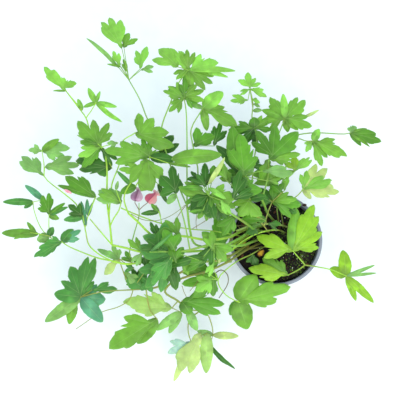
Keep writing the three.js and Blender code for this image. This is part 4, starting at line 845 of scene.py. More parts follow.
        ("deep", (148, 268, 232), ((140, 259), (151, 255)), 13, 4),
        ("cool", (151, 282, 212), ((142, 277), (141, 288), (153, 292)), 16, 5),
    )),
    ("below", (218, 280, 178), (
        ("fresh", (212, 279, 228), ((196, 277), (195, 291), (210, 293)), 19, 5),
        ("mid", (206, 272, 192), ((187, 264), (181, 272)), 14, 4),
        ("fresh", (214, 270, 190), ((209, 260), (218, 261)), 8, 2),
    )),
)

# Thin stems and dry ones: the stem they belong to, their tone, radius and route
THIN_STEMS = (
    ("left", "lime_stem", 1.1, (
        (121, 208, 250), (140, 216, 246), (163, 224, 240), (190, 229, 226), (213, 231, 212),
        (240, 236, 176), (252, 238, 155))),
    ("left", "olive_stem", 0.6, (
        (131, 214, 249), (141, 219, 247), (153, 221, 246), (166, 218, 246), (178, 211, 248),
        (185, 205, 250))),
    ("left", "olive_stem", 0.6, ((156, 205, 244), (160, 213, 243), (161, 224, 240))),
    ("left", "straw_stem", 0.7, ((186, 205, 250), (180, 213, 246), (172, 226, 236))),
    ("middle", "straw_stem", 0.6, ((197, 214, 256), (196, 222, 244), (197, 230, 228))),
    ("middle", "straw_stem", 0.6, ((213, 216, 258), (202, 223, 244), (192, 229, 227))),
    ("crown", "bloomy_stem", 1.9, (
        (289, 228, 151), (281, 225, 182), (266, 224, 204), (250, 226, 212), (236, 231, 214))),
    ("crown", "lime_stem", 1.5, (
        (286, 233, 151), (277, 230, 182), (262, 232, 204), (246, 239, 210), (230, 251, 206))),
    ("crown", "olive_stem", 1.6, (
        (276, 246, 151), (262, 247, 160), (248, 249, 166), (234, 249, 172), (222, 254, 176))),
    ("crown", "straw_stem", 1.0, (
        (264, 232, 152), (256, 229, 166), (246, 226, 176), (234, 226, 180))),
    ("crown", "straw_stem", 0.9, (
        (262, 237, 152), (252, 231, 164), (241, 231, 172), (230, 235, 172))),
    ("rim", "straw_stem", 0.7, (
        (235, 235, 190), (226, 246, 214), (214, 262, 226), (203, 275, 214), (190, 291, 200))),
    ("crown", "straw_stem", 0.8, (
        (258, 240, 152), (250, 237, 160), (243, 232, 168), (238, 226, 178))),
    ("rim", "straw_stem", 0.8, (
        (242, 239, 156), (233, 234, 178), (226, 250, 186), (216, 262, 182), (207, 276, 176))),
    ("below", "crown_stem", 0.9, (
        (212, 276, 180), (221, 270, 182), (227, 274, 180), (228, 283, 174), (219, 298, 166))),
    ("bottom", "straw_stem", 0.6, ((182, 286, 170), (184, 292, 168), (188, 300, 166))),
)


def seen(pixel):
    """The real point at a given height behind a pixel of the photo."""
    x, y, height = pixel
    upward = (GRID_MIDDLE - y) / GRID_REACH
    ray = Vector((
        (x - GRID_MIDDLE) / GRID_REACH,
        math.sin(EYE_TILT) + upward * math.cos(EYE_TILT),
        upward * math.sin(EYE_TILT) - math.cos(EYE_TILT),
    ))
    return EYE + ray * ((height - EYE.z) / ray.z)


def to_linear(code):
    """An sRGB hex colour as linear light, with an alpha of 1."""
    shares = (int(code[at:at + 2], 16) / 255 for at in (0, 2, 4))
    linear = (s / 12.92 if s <= 0.04045 else ((s + 0.055) / 1.055) ** 2.4 for s in shares)
    return (*linear, 1.0)


# Materials


def add_node(tree, kind, inputs=None, stops=(), **settings):
    """Add a node with its settings, its inputs' values or links, and a colour ramp's stops."""
    made = tree.nodes.new(kind)
    for name, value in settings.items():
        setattr(made, name, value)
    for name, value in (inputs or {}).items():
        if isinstance(value, bpy.types.NodeSocket):
            tree.links.new(value, made.inputs[name])
        else:
            made.inputs[name].default_value = value
    for index, (place, code) in enumerate(stops):
        elements = made.color_ramp.elements
        stop = elements[index] if index < len(elements) else elements.new(place)
        stop.position = place
        stop.color = to_linear(code)
    return made


class Finish:
    """A material under way. Each method adds one node and returns what comes out of it."""

    def __init__(self, name):
        """Start an empty material. One that is there already is emptied."""
        self.made = bpy.data.materials.get(name) or bpy.data.materials.new(name)
        self.made.use_nodes = True
        self.tree = self.made.node_tree
        self.tree.nodes.clear()

    def place(self):
        return add_node(self.tree, "ShaderNodeTexCoord").outputs["Object"]

    def tint(self):
        return add_node(self.tree, "ShaderNodeAttribute", attribute_name="tint").outputs["Color"]

    def grain(self):
        return add_node(self.tree, "ShaderNodeAttribute", attribute_name="grain").outputs["Vector"]

    def parts(self, vector):
        return add_node(self.tree, "ShaderNodeSeparateXYZ", {"Vector": vector}).outputs

    def stretched(self, vector, scale):
        return add_node(self.tree, "ShaderNodeMapping", {
            "Vector": vector, "Scale": scale}).outputs[0]

    def noise(self, vector, scale, detail, roughness=0.5):
        return add_node(self.tree, "ShaderNodeTexNoise", {
            "Vector": vector, "Scale": scale, "Detail": detail,
            "Roughness": roughness}).outputs[0]

    def ranged(self, value, source, target=(0, 1), kind="LINEAR"):
        """Map one range of a value to another, level beyond its ends."""
        return add_node(self.tree, "ShaderNodeMapRange", {
            "Value": value, "From Min": source[0], "From Max": source[1],
            "To Min": target[0], "To Max": target[1]}, interpolation_type=kind).outputs[0]

    def reckoned(self, operation, *values):
        return add_node(self.tree, "ShaderNodeMath", dict(enumerate(values)),
                        operation=operation).outputs[0]

    def mixed(self, share, one, other):
        return add_node(self.tree, "ShaderNodeMix", {0: share, 6: one, 7: to_linear(other)},
                        data_type="RGBA").outputs[2]

    def shaded(self, colour, shade):
        return add_node(self.tree, "ShaderNodeMix", {0: 1.0, 6: colour, 7: shade},
                        data_type="RGBA", blend_type="MULTIPLY").outputs[2]

    def ramped(self, share, *stops):
        return add_node(self.tree, "ShaderNodeValToRGB", {"Fac": share}, stops).outputs[0]

    def bumped(self, height, strength, depth):
        return add_node(self.tree, "ShaderNodeBump", {
            "Height": height, "Strength": strength, "Distance": depth}).outputs[0]

    def finished(self, colour, roughness, inputs=None):
        """Send the surface to the material's output, and return the material."""
        shader = add_node(self.tree, "ShaderNodeBsdfPrincipled", {
            "Base Color": colour, "Roughness": roughness, **(inputs or {})})
        add_node(self.tree, "ShaderNodeOutputMaterial", {"Surface": shader.outputs[0]})
        return self.made


def leaf_material(name, underside):
    """A living leaf blade. The upper side is matt from its wax bloom, with sunken paler veins.
    The underside is paler and duller, and its veins stand out."""
    leaf = Finish(name)
    along, aside, share = leaf.parts(leaf.grain())

    # Soft patches about 12 mm across, partly mottling and partly painted light and shade, and a
    # grain of cells drawn at 0.8 mm, coarser than real
    patches = leaf.noise(leaf.place(), 1 / (12 * MM), 3)
    cells = leaf.noise(leaf.place(), 1 / (0.8 * MM), 2)

    # A main vein fades out 0.85 mm to each side near the stalk, and 0.25 mm at the tip. The side
    # veins leave it every 7.2 mm, slant forward, and fade out 0.45 mm to each side
    width = leaf.ranged(share, (0, 1), (0.85, 0.25))
    near = leaf.reckoned("DIVIDE", aside, width)
    main = leaf.ranged(near, (0.15, 1), (1, 0), "SMOOTHSTEP")
    slant = leaf.reckoned("MULTIPLY_ADD", aside, -0.95, along)
    spaced = leaf.reckoned("PINGPONG", slant, 3.6)
    side = leaf.ranged(spaced, (0, 0.45), (0.6, 0), "SMOOTHSTEP")
    veins = leaf.reckoned("MAXIMUM", main, side)

    # The blade is darker in its first 20 mm from the stalk and along its side veins, and paler
    # along its main veins and its margin. The darkening is painted shade, where the lobes meet near
    # the stalk and along the side veins
    tone = add_node(leaf.tree, "ShaderNodeHueSaturation", {
        "Color": leaf.tint(), "Saturation": 0.75 if underside else 1.0,
        "Value": 1.12 if underside else 1.0}).outputs[0]
    patchy_light_and_mottling = leaf.ranged(patches, NOISE, (0.85, 1.12))
    # Painted shade, darkest at the stalk
    deep = leaf.ranged(along, (0, 20), (0.72, 1.1), "SMOOTHSTEP")
    # Painted shade along the side veins
    painted_vein_shade = leaf.reckoned("MULTIPLY_ADD", side, -0.2, 1)
    light = leaf.reckoned("MULTIPLY", patchy_light_and_mottling, deep)
    mottled_and_shaded = leaf.shaded(tone, leaf.reckoned("MULTIPLY", light, painted_vein_shade))
    veined = leaf.mixed(leaf.reckoned("MULTIPLY", main, 0.13), mottled_and_shaded, "d3ec9a")
    colour = leaf.mixed(leaf.ranged(share, (0.92, 1), (0, 0.14)), veined, "c3e07c")

    relief = leaf.reckoned("MULTIPLY_ADD", veins, 0.5 if underside else -0.5, cells)
    rough = leaf.ranged(cells, NOISE, (0.5, 0.68) if underside else (0.42, 0.58))
    return leaf.finished(colour, rough, {
        "Normal": leaf.bumped(relief, 0.35, 0.25 * MM), "IOR": 1.42, "Subsurface Weight": 0.25,
        "Subsurface Radius": (0.6, 1.0, 0.15), "Subsurface Scale": 1.2 * MM})


def stem_material():
    """A juicy green stem: waxy and smooth, with fine lengthwise streaks and a rusty blush."""
    stem = Finish("fleshy_stem_skin")
    blush = stem.noise(stem.place(), 1 / (30 * MM), 2)
    streaks = stem.noise(stem.grain(), 1.6, 2)
    rusty = stem.mixed(stem.ranged(blush, (0.52, 0.75), (0, 0.45)), stem.tint(), "9a7a45")
    colour = stem.shaded(rusty, stem.ranged(streaks, NOISE, (0.85, 1.12)))
    return stem.finished(colour, stem.ranged(streaks, (0, 1), (0.32, 0.5)), {
        "Normal": stem.bumped(streaks, 0.4, 0.15 * MM), "IOR": 1.42, "Subsurface Weight": 0.3,
        "Subsurface Radius": (0.8, 1.0, 0.2), "Subsurface Scale": 1.5 * MM})


def withered_material():
    """A withered leaf: yellow gone brown towards its margin, papery and dull."""
    leaf = Finish("withered_leaf_blade")
    spots = leaf.noise(leaf.place(), 1 / (3 * MM), 4)
    decay = leaf.reckoned("MULTIPLY_ADD", leaf.parts(leaf.grain())[2], 0.45, spots)
    colour = leaf.ramped(decay, (0.4, "f0cc3e"), (0.75, "dfa62c"), (1.0, "8a5a2a"))
    return leaf.finished(colour, 0.8, {"Normal": leaf.bumped(spots, 0.6, 0.4 * MM)})


def petal_material(name, far, seam, near, edge):
    """A fleshy petal: silky, with fine lengthwise veins. The far petal is painted in shade and the
    near petal painted lit, the seam of the heart is darker, and the near petal pales to its edge.
    The tips are nearly white."""
    petal = Finish(name)
    across, down, _ = petal.parts(petal.grain())
    sweep = petal.ranged(across, (-1, 1))
    # The far stop is painted shade and the near stop painted light
    body = petal.ramped(sweep, (0.3, far), (0.48, seam), (0.56, near), (0.97, edge))
    lines = petal.noise(petal.stretched(petal.grain(), (22.0, 1.5, 1.0)), 1, 3)
    veined = petal.shaded(body, petal.ranged(lines, NOISE, (0.86, 1.12)))
    colour = petal.mixed(petal.ranged(down, (0.8, 1), (0, 0.6)), veined, "f3dbe2")
    return petal.finished(colour, 0.4, {
        "Normal": petal.bumped(lines, 0.3, 0.2 * MM), "Sheen Weight": 0.15,
        "Subsurface Weight": 0.3, "Subsurface Radius": (1.0, 0.5, 0.5),
        "Subsurface Scale": 1.5 * MM})


def pot_material():
    """Injection-moulded polypropylene: satin gray, dusty, with faint scuffs from handling."""
    pot = Finish("moulded_gray_polypropylene")
    stretched = pot.stretched(pot.place(), (1.0, 1.0, 0.25))
    dust = pot.noise(stretched, 1 / (14 * MM), 5)
    scuffs = pot.noise(stretched, 1 / (1.6 * MM), 4)
    base = pot.ramped(dust, (0.3, "7e838f"), (0.5, "838894"), (0.72, "8b909b"))
    colour = pot.mixed(pot.ranged(scuffs, (0.62, 0.72), (0, 0.35)), base, "a49a8c")
    return pot.finished(colour, pot.ranged(dust, NOISE, (0.36, 0.46)), {
        "Normal": pot.bumped(scuffs, 0.15, 0.2 * MM), "IOR": 1.49})


def peat_material():
    """Damp potting soil: peat and bark fines, nearly black, with rusty fibres and a green film
    of algae on the lit side."""
    peat = Finish("damp_potting_soil")
    clods = peat.noise(peat.place(), 1 / (4 * MM), 6, 0.65)
    film = peat.noise(peat.place(), 1 / (11 * MM), 4)
    brown = peat.ramped(clods, (0.3, "060403"), (0.55, "130b07"), (0.75, "301c11"))
    lit = peat.ranged(peat.parts(peat.place())[0], (5 * MM, 60 * MM), (0, 0.3))
    algae = peat.ranged(peat.reckoned("ADD", film, lit), (0.72, 0.85), (0, 0.7))
    return peat.finished(peat.mixed(algae, brown, "3a4a1c"), 0.88, {
        "Normal": peat.bumped(clods, 0.9, 1.2 * MM)})


def crumb_material():
    """Loose crumbs on the soil: bark, peat, perlite and moss, each with its own tint, rough and
    pitted."""
    crumb = Finish("soil_crumbs")
    pits = crumb.noise(crumb.place(), 1 / (0.9 * MM), 3)
    colour = crumb.shaded(crumb.tint(), crumb.ranged(pits, NOISE, (0.7, 1.25)))
    return crumb.finished(colour, 0.85, {"Normal": crumb.bumped(pits, 0.8, 0.4 * MM)})


def floor_material():
    """White paper sweep: matt, with hardly any tooth."""
    paper = Finish("white_paper_sweep")
    tooth = paper.noise(paper.place(), 1 / (40 * MM), 2)
    return paper.finished(paper.ramped(tooth, (0.3, "f3f5f7"), (0.7, "f7f8f9")), 0.9)


# Shapes


class Piece:
    """A mesh under way, with the tint and the grain of each vertex in the order they are made.

    A leaf's grain is how far ahead on its vein a vertex lies and how far aside, in millimetres,
    and its share of the way to the margin.
    """

    def __init__(self):
        self.bm = bmesh.new()
        self.tints = []
        self.grains = []

    def stamp(self, template):
        """Add a copy of a template mesh, and return its new vertices in their order."""
        before = len(self.bm.verts)
        self.bm.from_mesh(template)
        self.bm.verts.ensure_lookup_table()
        return self.bm.verts[before:]

    def finish(self, name, materials, replaced=()):
        """Make the object: scaled to metres, smooth, riding on the plant's body."""
        bmesh.ops.scale(self.bm, vec=(MM, MM, MM), verts=self.bm.verts)
        if len(materials) == 1:
            for face in self.bm.faces:
                face.material_index = 0
        mesh = bpy.data.meshes.new(name)
        self.bm.to_mesh(mesh)
        self.bm.free()
        for material in materials:
            mesh.materials.append(material)
        for layer, kind, field, values in (("tint", "FLOAT_COLOR", "color", self.tints),
                                           ("grain", "FLOAT_VECTOR", "vector", self.grains)):
            if values:
                made = mesh.attributes.new(layer, kind, "POINT")
                made.data.foreach_set(field, [number for row in values for number in row])
        mesh.shade_smooth()
        made = bpy.data.objects.new(name, mesh)
        bpy.context.scene.collection.objects.link(made)
        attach(made, BODY)
        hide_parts(*replaced)
        return made


templates = {}


def kept(key, make):
    """A template mesh, made once."""
    if key not in templates:
        bm = bmesh.new()
        make(bm)
        mesh = bpy.data.meshes.new("template")
        bm.to_mesh(mesh)
        bm.free()
        templates[key] = mesh
    return templates[key]


def spun(bm, profile, steps):
    """Spin a profile of radius and height pairs round the upright axis into a closed shape."""
    verts = [bm.verts.new((radius, 0, height)) for radius, height in profile]
    edges = [bm.edges.new(pair) for pair in zip(verts, verts[1:])]
    bmesh.ops.spin(bm, geom=verts + edges, cent=(0, 0, 0), axis=(0, 0, 1), angle=math.tau,
                   steps=steps, use_merge=True)
    bmesh.ops.remove_doubles(bm, verts=bm.verts, dist=1e-5)
    bmesh.ops.recalc_face_normals(bm, faces=bm.faces)


def blade_template(rings, steps):
    """A thin round disc of rings and steps. Its underside has the second material."""
    def make(bm):
        tops = []
        for ring in range(rings + 1):
            reach = (ring / rings) ** RING_POWER
            tops.append((reach, 1 - EDGE_THINNING * reach ** EDGE_POWER))
        spun(bm, tops + [(reach, -height) for reach, height in reversed(tops)], steps)
        for face in bm.faces:
            face.material_index = 1 if face.normal.z < -0.5 else 0
    return kept(("blade", rings, steps), make)


def tube_template(rings, sides):
    """A straight tube of unit radius, with the third material: a ring extruded upwards, closed."""
    def make(bm):
        bmesh.ops.create_circle(bm, cap_ends=True, segments=sides, radius=1)
        top = list(bm.faces)
        for _ in range(rings):
            grown = bmesh.ops.extrude_face_region(bm, geom=top)["geom"]
            top = [item for item in grown if isinstance(item, bmesh.types.BMFace)]
            moved = [item for item in grown if isinstance(item, bmesh.types.BMVert)]
            bmesh.ops.translate(bm, vec=(0, 0, 1), verts=moved)
        bmesh.ops.recalc_face_normals(bm, faces=bm.faces)
        for face in bm.faces:
            face.material_index = 2
    return kept(("tube", rings, sides), make)


def ball_template(rounds):
    """A ball of triangles, with the third material."""
    def make(bm):
        bmesh.ops.create_icosphere(bm, subdivisions=rounds, radius=1)
        for face in bm.faces:
            face.material_index = 2
    return kept(("ball", rounds), make)


def turned_template(name, outline, steps):
    """A closed turned shape with a smooth outline."""
    route = smooth_route([Vector((reach, 0, height)) for reach, height in outline], 3)
    middle = [(max(0, point.x), point.z) for point in route[1:-1]]
    profile = [(0, route[0].z), *middle, (0, route[-1].z)]
    return kept(name, lambda bm: spun(bm, profile, steps))


def smooth_route(points, steps):
    """Points along a smooth line through the given ones, some steps to each stretch."""
    ends = [points[0] * 2 - points[1], *points, points[-1] * 2 - points[-2]]
    route = []
    for p0, p1, p2, p3 in zip(ends, ends[1:], ends[2:], ends[3:]):
        d0, d1, d2 = ((b - a).length ** 0.5 for a, b in ((p0, p1), (p1, p2), (p2, p3)))
        t1 = ((p1 - p0) / d0 - (p2 - p0) / (d0 + d1) + (p2 - p1) / d1) * d1
        t2 = ((p2 - p1) / d1 - (p3 - p1) / (d1 + d2) + (p3 - p2) / d2) * d1
        for step in range(steps):
            t = step / steps
            route.append(p1 * (2 * t ** 3 - 3 * t ** 2 + 1) + t1 * (t ** 3 - 2 * t ** 2 + t)
                         + p2 * (3 * t ** 2 - 2 * t ** 3) + t2 * (t ** 3 - t ** 2))
    return route + [points[-1]]


def darkened(tint, foot, spot):
    """A stem's tint, turned to its foot's colour near the crown and the soil, which is rust with
    painted shade.
    """
    rise = (spot.z - SOIL_LEVEL) / CROWN_HEIGHT
    away = (math.hypot(spot.x, spot.y) - CROWN_REACH) / CROWN_REACH
    share = max(0, min(1, max(rise, away)))
    return tuple(low + (high - low) * share for low, high in zip(foot, tint))


def add_stem(piece, points, radii, tint, sides):
    """A round stem along a route, from the first radius to the last."""
    foot = (*bpy.context.scene.heart_tones.crown_stem, 1.0)
    count = len(points) - 1
    tangents = [(points[min(at + 1, count)] - points[max(at - 1, 0)]).normalized()
                for at in range(count + 1)]
    across = tangents[0].orthogonal().normalized()
    frames = []
    for tangent in tangents:
        across = (across - tangent * across.dot(tangent)).normalized()
        frames.append((across, tangent.cross(across)))
    travelled = [0.0]
    for one, other in zip(points, points[1:]):
        travelled.append(travelled[-1] + (other - one).length)
    for vert in piece.stamp(tube_template(count, sides)):
        at = round(vert.co.z)
        share = travelled[at] / travelled[-1]
        radius = radii[0] + (radii[1] - radii[0]) * share
        radius *= 1 + KNOBBLE * noise.noise(points[at] * KNOBBLE_SCALE)
        turn = math.atan2(vert.co.y, vert.co.x)
        one, other = frames[at]
        vert.co = points[at] + (one * math.cos(turn) + other * math.sin(turn)) * radius
        piece.tints.append(darkened(tint, foot, points[at]))
        piece.grains.append((math.cos(turn) * STREAKS_ROUND, math.sin(turn) * STREAKS_ROUND,
                             travelled[at] * STREAKS_ALONG))


def add_ball(piece, centre, sizes, tint, turn=Matrix.Identity(3), rounds=2):
    """A rounded lump at a point, with its half-sizes and a rotation."""
    for vert in piece.stamp(ball_template(rounds)):
        spot = Vector(vert.co[axis] * sizes[axis] for axis in range(3))
        piece.grains.append(tuple(vert.co))
        piece.tints.append(tint)
        vert.co = centre + turn @ spot


# Leaves


def lobe_reach(lobe, angle, notch):
    """How far a lobe reaches at an angle from its own axis: a leaf shape with a pointed tip and
    a small notch on both sides of it."""
    _, length, slopes = lobe
    spread = abs(math.tan(angle)) / slopes[0 if angle < 0 else 1]
    if spread >= 1 or abs(angle) > 1.5:
        return 0
    cut = notch * max(0, 1 - abs(spread - NOTCH_PLACE) / NOTCH_WIDTH)
    return length * (1 - cut) * (1 - spread ** LOBE_ROUND) ** LOBE_POINT / math.cos(angle)


def core_reach(angle, ahead, behind, half_width, roundness):
    """How far the middle of the blade reaches: a rounded diamond, drawn out to the stalk."""
    forward = math.cos(angle) > 0
    power = roundness[0 if forward else 1]
    along = (abs(math.cos(angle)) / (ahead if forward else behind)) ** power
    aside = (abs(math.sin(angle)) / half_width) ** power
    return (along + aside) ** (-1 / power)


def wrap(angle):
    """The same direction as an angle between minus and plus half a turn."""
    return math.atan2(math.sin(angle), math.cos(angle))


def outline_angles(lobes, count):
    """Angles round the blade that catch its tips, cuts, notches and base, closest near them."""
    keys = [math.pi] + [wrap(angle) for angle, _, _ in lobes]
    keys += [(one[0] + other[0]) / 2 for one, other in zip(lobes, lobes[1:])]
    if len(lobes) > 1:
        keys += [angle + side * math.atan(NOTCH_PLACE * slope) for angle, _, slopes in lobes
                 for side, slope in zip((-1, 1), slopes)]
    keys = sorted(set(round(wrap(key), 4) for key in keys))
    gaps = [(keys[(at + 1) % len(keys)] - key) % math.tau for at, key in enumerate(keys)]
    shares = [gap ** GAP_POWER for gap in gaps]
    steps = [max(2, round(count * share / sum(shares))) for share in shares]
    steps[steps.index(max(steps))] += count - sum(steps)
    angles = []
    for key, gap, parts in zip(keys, gaps, steps):
        for step in range(parts):
            share = step / parts
            eased = share - GAP_EASING * math.sin(math.tau * share)
            angles.append(wrap(key + gap * eased))
    return angles


def lobes_of(tips, wide):
    """Each lobe's angle, its reach and how steeply its two sides open.

    The cut between two lobes is a set share deep, or less where they stand close, and the outer
    sides make up the blade's width.
    """
    found = sorted((math.atan2(aside, ahead), math.hypot(ahead, aside)) for ahead, aside in tips)
    lobes = []
    for at, (angle, reach) in enumerate(found):
        slopes = []
        for side, neighbour in ((-1, at - 1), (1, at + 1)):
            if 0 <= neighbour < len(found):
                gap = abs(found[neighbour][0] - angle)
                depth = CUT_SPREAD * min(1, gap / WIDE_GAP)
                slopes.append(math.tan(min(gap, 2) / 2) / depth)
            else:
                outer = wide / 2 - WIDEST * reach * max(0, math.sin(side * angle))
                half_width = max(LEAST_FLANK * reach, outer)
                slopes.append(LOBE_SLOPE * half_width / reach)
        lobes.append((angle, reach, slopes))
    return lobes


def blade_spokes(lobes, core, steps, phase):
    """For each step round the blade: its direction, its reach, its angle off the nearest vein,
    whether that vein runs back to the stalk, and its painted light and shade, which lightens the
    blade in some directions and darkens it in others."""
    veins = [math.pi] + [lobe[0] for lobe in lobes]
    cuts = [((one[0] + other[0]) / 2, min(1, (other[0] - one[0]) / WIDE_GAP))
            for one, other in zip(lobes, lobes[1:])]
    notch = NOTCH_CUT * (1 + 0.5 * math.sin(phase))
    spokes = []
    for angle in outline_angles(lobes, steps):
        reach = core_reach(angle, *core)
        if len(lobes) > 1:
            reach = max(reach, *(lobe_reach(lobe, wrap(angle - lobe[0]), notch) for lobe in lobes))
        reach *= 1 + EDGE_WAVE * math.sin(EDGE_WAVES * angle + phase)
        for cut, depth in cuts:
            beside = abs(wrap(angle - cut))
            reach *= 1 - SLIT_DEPTH * depth * max(0, 1 - beside / SLIT_WIDTH)
        off, rearward = min((abs(wrap(angle - vein)), vein == math.pi) for vein in veins)
        # Painted light and shade: the blade is lightened in some directions and darkened in others,
        # as if its lobes faced the light differently
        shade = 1 + PAINTED_LOBE_SHADE * math.sin(2 * angle + phase)
        spokes.append((math.cos(angle), math.sin(angle), reach, off, rearward, shade))
    return spokes


def blade_rise(forward, sideways, length, wide):
    """The blade arches from stalk to tip and droops towards its sides."""
    share = forward / length
    arch = ARCH * length * share * (1 - share)
    return arch - SIDE_FALL * abs(sideways) - SIDE_CURL * sideways * sideways / wide


def add_blade(piece, leaflet, base, thickness, tint):
    """One leaflet: an arched blade, quilted between its veins, whose lobes end at its tips."""
    _, start, tips, wide, fall, *roll = leaflet
    ends = [seen((x, y, start[2] - fall)) for x, y in tips]
    far = max(ends, key=lambda end: (end - base).length)
    length = (far - base).length
    along = (far - base).normalized()
    level = along.cross(UP).normalized()
    across = Matrix.Rotation(math.radians(sum(roll)), 3, along) @ level
    outward = across.cross(along)
    if len(tips) == 1:
        middle = length * OVATE_MIDDLE
        core = (length - middle, middle, wide / 2, OVATE_ROUNDNESS)
    else:
        middle = length * BLADE_MIDDLE
        core = (CORE_AHEAD * length, middle, CORE_WIDTH * wide / 2, CORE_ROUNDNESS)
    lobes = lobes_of([((end - base).dot(along) - middle, -(end - base).dot(across)) for end in ends],
                     wide)
    rings, steps = LARGE_MESH if length > LARGE_BLADE else SMALL_MESH
    spokes = blade_spokes(lobes, core, steps, base.x * 0.7 + base.y)
    for vert in piece.stamp(blade_template(rings, steps)):
        share = min(1.0, math.hypot(vert.co.x, vert.co.y))
        step = round(math.atan2(vert.co.y, vert.co.x) / math.tau * steps) % steps
        cosine, sine, reach, off, rearward, shade = spokes[step]
        out = share * reach
        forward = middle + out * cosine
        sideways = out * sine
        aside = out * min(1, math.sin(min(off, math.pi / 2)))
        ahead_on_vein = middle + out * math.cos(off) * (-1 if rearward else 1)
        spot = base + along * forward - across * sideways
        rise = blade_rise(forward, sideways, length, wide)
        rise += QUILT_HEIGHT * (1 - math.exp(-(aside / QUILT_REACH) ** 2)) * (1 - share ** 4)
        rise += BUCKLE_HEIGHT * share * noise.noise(spot * BUCKLE_SCALE)
        rise += vert.co.z * thickness / 2
        vert.co = spot + outward * rise
        # The tint carries the painted light and shade of this step round the blade
        piece.tints.append((*(channel * shade for channel in tint[:3]), 1.0))
        piece.grains.append((ahead_on_vein, aside, share))


def tint_of(tone, draw):
    """A tone's colour, a little lighter or darker and yellower or bluer at random."""
    colour = getattr(bpy.context.scene.heart_tones, tone)
    bright = 1 + draw.uniform(-TINT_SPREAD, TINT_SPREAD)
    warm = 1 + draw.uniform(-TINT_SPREAD, TINT_SPREAD) / 2
    return (colour[0] * bright * warm, colour[1] * bright, colour[2] * bright / warm, 1.0)


def add_leaf(piece, fork, leaflets, draw, settings, stem_tone):
    """A compound leaf: the swelling where its stalks part, a stalk to each leaflet, the blades."""
    knot = seen(fork)
    swelling = STALK_RADIUS * settings.joint_swelling
    add_ball(piece, knot, (swelling,) * 3, tint_of(stem_tone, draw))
    thickness = settings.blade_thickness / MM
    for leaflet in leaflets:
        base = seen(leaflet[1])
        tint = tint_of(leaflet[0], draw)
        if (base - knot).length < SHORT_STALK:
            add_blade(piece, leaflet, knot, thickness, tint)
            continue
        bow = UP * (base - knot).length * STALK_BOW
        end = base + (base - knot).normalized()
        route = smooth_route([knot, (knot + base) / 2 + bow, end], STALK_STEPS)
        radii = [STALK_RADIUS * share for share in STALK_ENDS]
        add_stem(piece, route, radii, tint_of(stem_tone, draw), STALK_SIDES)
        add_blade(piece, leaflet, base, thickness, tint)


def rooted(root, route):
    """A stem's route of real points, from its hole in the soil."""
    x, y = root
    low = Vector((x, y, SOIL_LEVEL - HOLE_DEPTH + 1))
    return [low, Vector((x, y, SOIL_LEVEL + SOIL_RISE)), *(seen(pixel) for pixel in route)]


def add_stems(piece, root, stems, draw, settings, tone):
    """A leafy stem and its petioles. Each thins towards its far end."""
    for order, (radius, route) in enumerate(stems):
        points = rooted(root, route) if order == 0 else [seen(pixel) for pixel in route]
        radii = (radius * STEM_START, radius * settings.stem_taper)
        add_stem(piece, smooth_route(points, STEM_STEPS), radii, tint_of(tone, draw),
                 THICK_STEM_SIDES if radius > THICK_STEM else STEM_SIDES)


# Flowers


def placing(at, turn, lean):
    """The transform that hangs a flower at its notch, leaned over and turned."""
    return (Matrix.Translation(seen(at)) @ Matrix.Rotation(math.radians(turn), 4, "Z")
            @ Matrix.Rotation(math.radians(lean), 4, "X"))


def add_petals(piece, place, template, shape):
    """Stamp a template, move its vertices as a shape says, and hang it in its place. The grain
    says how far across a petal and how far down it a vertex lies."""
    for vert in piece.stamp(template):
        spot, grain = shape(*vert.co)
        piece.grains.append(grain)
        piece.tints.append((1, 1, 1, 1))
        vert.co = place @ spot


def add_heart(piece, place, settings):
    """Two swollen outer petals: a turned heart, pressed flat, with a furrow where they meet."""
    def shape(x, y, z):
        furrow = 1 - settings.furrow * math.exp(-(x / FURROW_WIDTH) ** 2)
        skirt = 1 - SKIRT_CUT * max(0, min(1, (-z - SKIRT_PLACE) / SKIRT_LENGTH))
        depth = y * FLOWER_DEPTH / 2 * furrow * skirt
        return Vector((x * FLOWER_WIDTH / 2, depth, z * FLOWER_LENGTH)), (x, -z, y)
    add_petals(piece, place, turned_template("heart", HEART_OUTLINE, HEART_STEPS), shape)


def add_inner(piece, place):
    """The inner petals: a white drop with a narrow waist and two small wings."""
    half_width, half_depth, half_length = INNER_SIZE
    middle = INNER_PLACE * FLOWER_LENGTH - FLOWER_GAP - half_length

    def shape(x, y, z):
        spot = Vector((x * half_width, y * half_depth, middle + z * half_length))
        return spot, (x, (1 - z) / 2, y)
    add_petals(piece, place, turned_template("inner", INNER_OUTLINE, INNER_STEPS), shape)


# Pot and soil


def outside_at(height):
    """The pot's outer radius at a height: the wall leans out from base to lip."""
    return BASE_RADIUS + (RIM_RADIUS - LIP_WIDTH / 2 - BASE_RADIUS) / POT_HEIGHT * height


